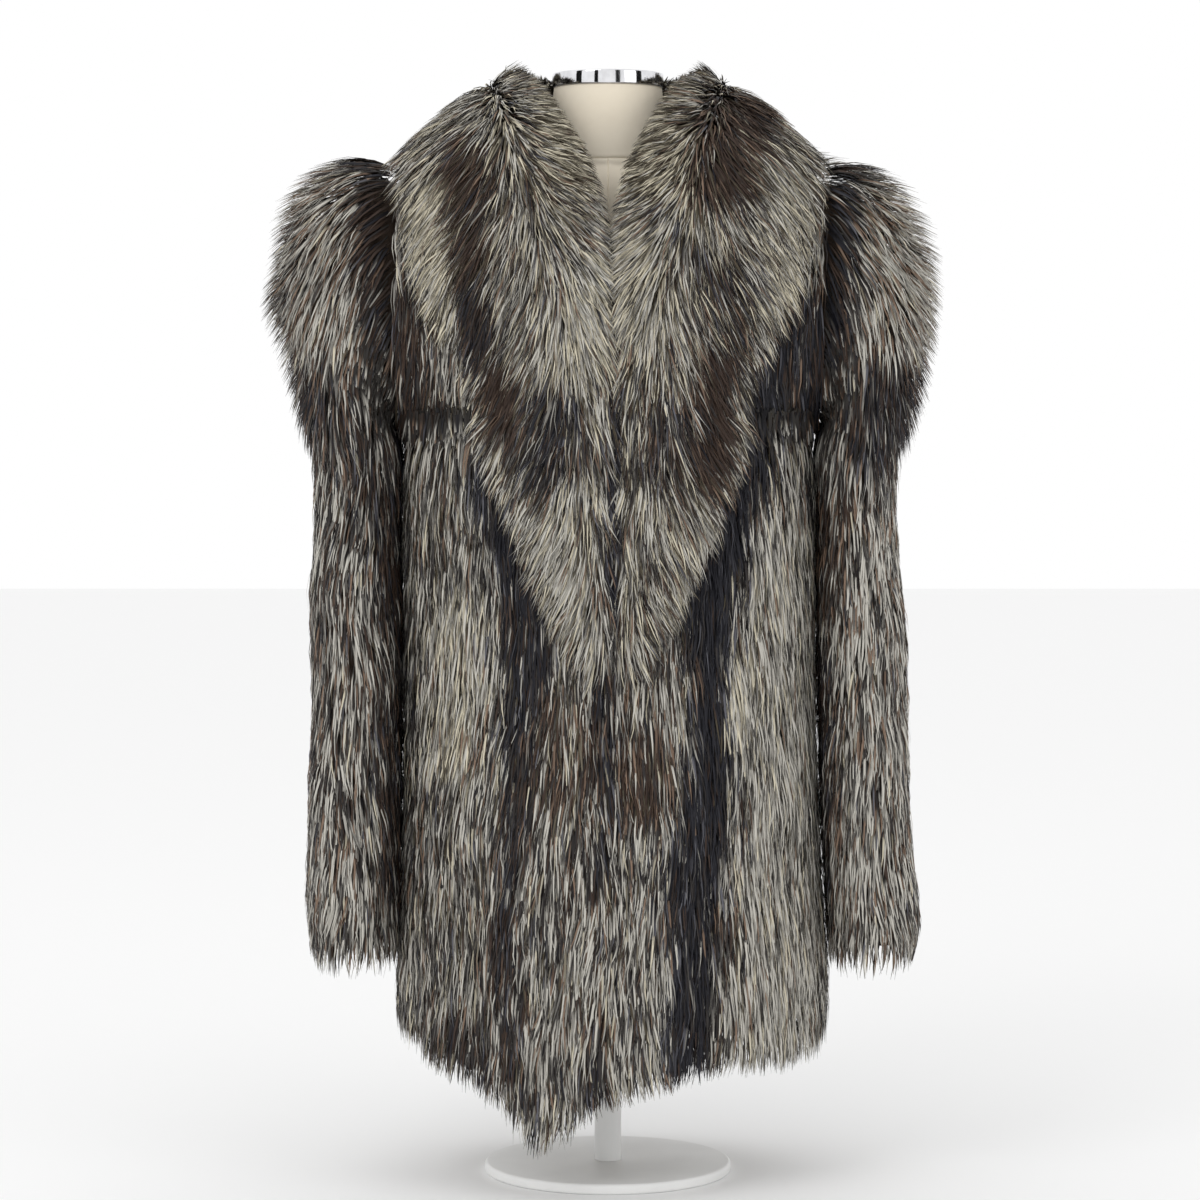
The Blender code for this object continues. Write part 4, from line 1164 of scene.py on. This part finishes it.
def form_mesh(name, groove):
    """The linen form, with shallow grooves at its neck seam and its centre front and back seams."""
    levels = [*np.linspace(FORM_FLOOR, 0.90, 60), *np.linspace(0.903, 0.9385, 24)]
    levels += [0.9395, 0.9402, NECK_SEAM, 0.9414, 0.9421, 0.9430]
    levels += [*np.linspace(0.945, FORM_TOP, 26)]
    half = math.pi / 2
    seams = (half, 3 * half)
    near = (-0.10, -0.05, -0.030, -0.015, 0.0, 0.015, 0.030, 0.05, 0.10)
    even = np.linspace(0.0, 2 * math.pi, 72, endpoint=False)
    turn = [middle + step for middle in seams for step in near]
    turn += [angle for angle in even if min(abs(angle - middle) for middle in seams) > 0.12]
    turn = np.array(sorted(turn))
    grid = []
    for z in levels:
        value = {field: float(smooth(FORM_LEVELS, "z", field, z)) for field in FormLevel._fields}
        rounding = 2.0 / value["power"]
        depth = np.where(np.sin(turn) < 0, value["front"], value["back"])
        seam = groove * math.exp(-(((z - NECK_SEAM) / 0.0010) ** 2)) * np.ones(len(turn))
        if z < NECK_SEAM:
            away = np.minimum(*(np.abs(turn - middle) for middle in seams))
            seam = np.maximum(seam, groove * np.exp(-((away / 0.018) ** 2)))
        x = (value["half_width"] - seam) * signed_power(np.cos(turn), rounding)
        y = (depth - seam) * signed_power(np.sin(turn), rounding)
        grid.append(np.stack([x, y, np.full(len(turn), z)], axis=-1))
    mesh = bmesh.new()
    rings = [[mesh.verts.new(point) for point in row] for row in grid]
    for low, high in zip(rings, rings[1:]):
        for step in range(len(turn)):
            after = (step + 1) % len(turn)
            mesh.faces.new((low[step], low[after], high[after], high[step]))
    mesh.faces.new(rings[0])
    mesh.faces.new(rings[-1])
    bmesh.ops.recalc_face_normals(mesh, faces=mesh.faces)
    data = bpy.data.meshes.new(name)
    mesh.to_mesh(data)
    mesh.free()
    return data


# ---- settings --------------------------------------------------------------------------------------
def size_field(name, about, default):
    limits = {"min": 0.0, "unit": "LENGTH", "precision": 4}
    return bpy.props.FloatProperty(name=name, description=about, default=default, **limits)


def number_field(name, about, default):
    return bpy.props.FloatProperty(name=name, description=about, default=default, min=0.0)


def count_field(name, about, default):
    return bpy.props.IntProperty(name=name, description=about, default=default, min=1)


def colour_field(name, about, default):
    limits = {"min": 0.0, "max": 1.0, "size": 3, "subtype": "COLOR"}
    return bpy.props.FloatVectorProperty(name=name, description=about, default=default, **limits)


class COAT_PG_finishes(bpy.types.PropertyGroup):
    silver_hair: colour_field("Silver hair", "Light band of a silver hair", (0.50, 0.480, 0.430))
    cream_hair: colour_field("Cream hair", "Light band of a cream hair", (0.58, 0.53, 0.41))
    brown_hair: colour_field("Brown hair", "Light band of a brown hair", (0.20, 0.135, 0.095))
    blue_hair: colour_field("Blue-black hair", "Light band of a blue-black hair", (0.10, 0.10, 0.115))
    leather: colour_field("Leather", "Lighter clouds of the pelts' leather", (0.095, 0.068, 0.050))
    linen: colour_field("Linen", "Cleaner parts of the form's linen", (0.93, 0.85, 0.71))
    chrome: colour_field("Chrome", "Brighter parts of the neck cap", (0.83, 0.83, 0.85))
    paint: colour_field("Paint", "Lighter parts of the stand's paint", (0.84, 0.84, 0.83))


class COAT_PG_body(bpy.types.PropertyGroup):
    hairs: count_field("Hairs", "Hairs on each front; the back has a tenth fewer", 24000)
    length: size_field("Length", "Length of a hair", 0.052)
    hair_width: size_field("Hair width", "Width of a hair at its root", 0.0019)
    depth: size_field("Bed depth", "How far below the fur's outer surface the hair starts", 0.0095)
    hem_rise: size_field("Hem rise", "How far above the hem the pelt ends", 0.040)
    lift_angle: number_field("Lift angle", "Degrees that the fur stands up from the pelt", 8.5)
    lock_size: size_field("Lock size", "Spacing of the locks that the hair falls into", 0.020)
    lock_pull: number_field("Lock pull", "How strongly a lock pulls its hair aside", 0.34)
    stray: number_field("Stray", "How far single hairs leave the lie of the fur", 0.10)


class COAT_PG_sleeves(bpy.types.PropertyGroup):
    hairs: count_field("Hairs", "Hairs on each sleeve", 18000)
    length: size_field("Length", "Length of a hair", 0.044)
    hair_width: size_field("Hair width", "Width of a hair at its root", 0.0019)
    lift_angle: number_field("Lift angle", "Degrees that the fur stands up from the pelt", 7.0)
    lock_size: size_field("Lock size", "Spacing of the locks that the hair falls into", 0.018)
    lock_pull: number_field("Lock pull", "How strongly a lock pulls its hair aside", 0.34)
    stray: number_field("Stray", "How far single hairs leave the lie of the fur", 0.10)


class COAT_PG_collar(bpy.types.PropertyGroup):
    hairs: count_field("Hairs", "Hairs on each half of the collar", 20500)
    length: size_field("Length", "Length of a hair", 0.050)
    hair_width: size_field("Hair width", "Width of a hair at its root", 0.0017)
    lift_angle: number_field("Lift angle", "Degrees that the fur stands up from the pelt", 9.0)
    lock_size: size_field("Lock size", "Spacing of the locks that the hair falls into", 0.018)
    lock_pull: number_field("Lock pull", "How strongly a lock pulls its hair aside", 0.45)
    stray: number_field("Stray", "How far single hairs leave the lie of the fur", 0.14)


class COAT_PG_form(bpy.types.PropertyGroup):
    groove: size_field("Seam groove", "Depth of the grooves at the linen's seams", 0.0012)
    segments: count_field("Segments", "Sides of a turned piece", 128)


class COAT_PG_stage(bpy.types.PropertyGroup):
    sky: number_field("Sky", "Strength of the white surroundings", 1.0)
    key: number_field("Key light", "Power of the large soft light, in watts", 20.0)
    fill: number_field("Fill light", "Power of the light from the other side, in watts", 6.0)
    lens: number_field("Lens", "Focal length of the camera, in millimetres", 109.7)
    distance: size_field("Distance", "How far in front of the coat the camera stands", 3.4)


# ---- operators -------------------------------------------------------------------------------------
class COAT_OT_body(bpy.types.Operator):
    """Make the two fronts and the back: a pelt each, with its fur"""

    bl_idname = "fox_coat.body"
    bl_label = "Fronts and back"

    def execute(self, context):
        settings = context.scene.coat_body
        for seed, node in enumerate(("front_right", "front_left", "back"), start=1):
            make_cloth_piece(node, settings, seed, 0.9 if node == "back" else 1.0)
        return {"FINISHED"}


class COAT_OT_sleeves(bpy.types.Operator):
    """Make the two sleeves: a pelt each, with its fur"""

    bl_idname = "fox_coat.sleeves"
    bl_label = "Sleeves"

    def execute(self, context):
        for seed, node in enumerate(("sleeve_right", "sleeve_left"), start=11):
            make_cloth_piece(node, context.scene.coat_sleeves, seed)
        return {"FINISHED"}


class COAT_OT_collar(bpy.types.Operator):
    """Make the two halves of the shawl collar: a pelt each, with its fur"""

    bl_idname = "fox_coat.collar"
    bl_label = "Collar"

    def execute(self, context):
        for seed, node in enumerate(("collar_right", "collar_left"), start=21):
            make_cloth_piece(node, context.scene.coat_collar, seed)
        return {"FINISHED"}


class COAT_OT_form(bpy.types.Operator):
    """Make the linen form, its chrome neck cap, the post and the base"""

    bl_idname = "fox_coat.form"
    bl_label = "Form and stand"

    def execute(self, context):
        settings = context.scene.coat_form
        torso = add_object("form_linen", form_mesh("form_linen", settings.groove), "form_linen")
        put_in_place(torso, "form_torso", 55.0)
        cap_low = FORM_TOP + SEAM_GAP
        cap = bevelled(NECK_RADIUS + CAP_OVERHANG, cap_low, cap_low + CAP_HEIGHT, CAP_BEVEL)
        turned_piece("neck_cap_chrome", cap, settings.segments, "cap_chrome", "neck_cap")
        base = bevelled(BASE_RADIUS, 0.0, BASE_THICKNESS, BASE_BEVEL)
        turned_piece("stand_base_paint", base, settings.segments, "stand_paint", "stand_base")
        low, high = BASE_THICKNESS + SEAM_GAP, FORM_FLOOR - SEAM_GAP
        post = [(0.0, low), (POST_RADIUS, low), (POST_RADIUS, high), (0.0, high)]
        turned_piece("stand_post_paint", post, settings.segments, "stand_paint", "stand_post")
        return {"FINISHED"}


class COAT_OT_stage(bpy.types.Operator):
    """Make the pale floor, the soft studio light and the camera"""

    bl_idname = "fox_coat.stage"
    bl_label = "Stage"

    def execute(self, context):
        settings = context.scene.coat_stage
        corners = [(FLOOR_REACH * x, FLOOR_REACH * y, 0.0) for x, y in ((-1, -1), (1, -1), (1, 1), (-1, 1))]
        stage_panel("floor", corners, plain_material("floor_finish", 0.9, 0.1, 0.92))
        light_studio(settings)
        hang_dark_cards()
        place_camera(settings)
        context.scene.view_settings.view_transform = "Standard"
        return {"FINISHED"}


FLOOR_REACH = 12.0
CARD_DISTANCE = 2.2        # the dark cards stand this far from the coat's middle
CARD_FOOT = 0.2
CARD_HEAD = 2.4
# Bearing in degrees from straight in front, and width: the cards make the cap's dark reflections.
CARDS = ((-62.0, 0.5), (-24.0, 0.3), (20.0, 0.36), (66.0, 0.5))
CAMERA_X = -0.0074
CAMERA_HEIGHT = 0.70
AIM_HEIGHT = 0.535
SENSOR_WIDTH = 36.0        # millimetres


def plain_material(name, roughness, specular, grey):
    material, _, shader = new_material(name, roughness, specular=specular)
    shader.inputs["Base Color"].default_value = (grey, grey, grey, 1.0)
    return material


def add_to_stage(name, data):
    item = bpy.data.objects.new(name, data)
    bpy.context.scene.collection.objects.link(item)
    return item


def stage_panel(name, corners, material):
    mesh = bpy.data.meshes.new(name)
    mesh.from_pydata(corners, [], [(0, 1, 2, 3)])
    mesh.materials.append(material)
    return add_to_stage(name, mesh)


def light_studio(settings):
    """White surroundings, a large soft light from one side and a weaker one from the other."""
    world = bpy.data.worlds.new("studio")
    world.use_nodes = True
    sky = world.node_tree.nodes["Background"]
    sky.inputs["Color"].default_value = (1.0, 1.0, 1.0, 1.0)
    sky.inputs["Strength"].default_value = settings.sky
    bpy.context.scene.world = world
    for name, place, size, power in (
        ("key", (-1.6, -2.4, 2.6), 1.6, settings.key),
        ("fill", (2.2, -2.0, 1.2), 1.4, settings.fill),
    ):
        light = bpy.data.lights.new(name, "AREA")
        light.size = size
        light.energy = power
        lamp = add_to_stage(name, light)
        lamp.location = place
        aim(lamp, (0.0, 0.0, 0.6))


def hang_dark_cards():
    """Dark cards that only reflections show."""
    dark = plain_material("card_finish", 1.0, 0.0, 0.01)
    for index, (bearing, width) in enumerate(CARDS):
        turn = math.radians(bearing - 90.0)
        centre = CARD_DISTANCE * np.array([math.cos(turn), math.sin(turn)])
        edge = np.array([-math.sin(turn), math.cos(turn)]) * width / 2
        low, high = centre - edge, centre + edge
        corners = [(*low, CARD_FOOT), (*high, CARD_FOOT), (*high, CARD_HEAD), (*low, CARD_HEAD)]
        card = stage_panel(f"card_{index}", corners, dark)
        card.visible_camera = False
        card.visible_diffuse = False
        card.visible_shadow = False


def place_camera(settings):
    lens = bpy.data.cameras.new("camera")
    lens.lens = settings.lens
    lens.sensor_width = SENSOR_WIDTH
    camera = bpy.data.objects.new("camera", lens)
    camera.location = (CAMERA_X, -settings.distance, CAMERA_HEIGHT)
    aim(camera, (CAMERA_X, 0.0, AIM_HEIGHT))
    bpy.context.scene.collection.objects.link(camera)
    bpy.context.scene.camera = camera


def aim(item, target):
    run = np.array(target) - np.array(item.location)
    level = math.hypot(run[0], run[1])
    item.rotation_euler = (math.atan2(level, -run[2]), 0.0, math.atan2(-run[0], run[1]))


class COAT_PT_panel(bpy.types.Panel):
    """Settings and operators of the coat"""

    bl_idname = "COAT_PT_panel"
    bl_label = "Fox coat"
    bl_space_type = "VIEW_3D"
    bl_region_type = "UI"
    bl_category = "Fox coat"

    def draw(self, context):
        for title, prop, operator in SECTIONS:
            box = self.layout.box()
            box.label(text=title)
            settings = getattr(context.scene, prop)
            for field in settings.__annotations__:
                box.prop(settings, field)
            if operator:
                box.operator(operator.bl_idname)


SECTIONS = (
    ("Colours", "coat_finishes", None),
    ("Fronts and back", "coat_body", COAT_OT_body),
    ("Sleeves", "coat_sleeves", COAT_OT_sleeves),
    ("Collar", "coat_collar", COAT_OT_collar),
    ("Form and stand", "coat_form", COAT_OT_form),
    ("Stage", "coat_stage", COAT_OT_stage),
)
SETTINGS = {
    "coat_finishes": COAT_PG_finishes,
    "coat_body": COAT_PG_body,
    "coat_sleeves": COAT_PG_sleeves,
    "coat_collar": COAT_PG_collar,
    "coat_form": COAT_PG_form,
    "coat_stage": COAT_PG_stage,
}
OPERATORS = [operator for _, _, operator in SECTIONS if operator]
CLASSES = (*SETTINGS.values(), *OPERATORS, COAT_PT_panel)


def register():
    for item in CLASSES:
        bpy.utils.register_class(item)
    for prop, group in SETTINGS.items():
        setattr(bpy.types.Scene, prop, bpy.props.PointerProperty(type=group))


def unregister():
    for prop in SETTINGS:
        delattr(bpy.types.Scene, prop)
    for item in reversed(CLASSES):
        bpy.utils.unregister_class(item)


def main():
    register()
    bpy.ops.fox_coat.body()
    bpy.ops.fox_coat.sleeves()
    bpy.ops.fox_coat.collar()
    bpy.ops.fox_coat.form()
    bpy.ops.fox_coat.stage()


if __name__ == "__main__":
    main()
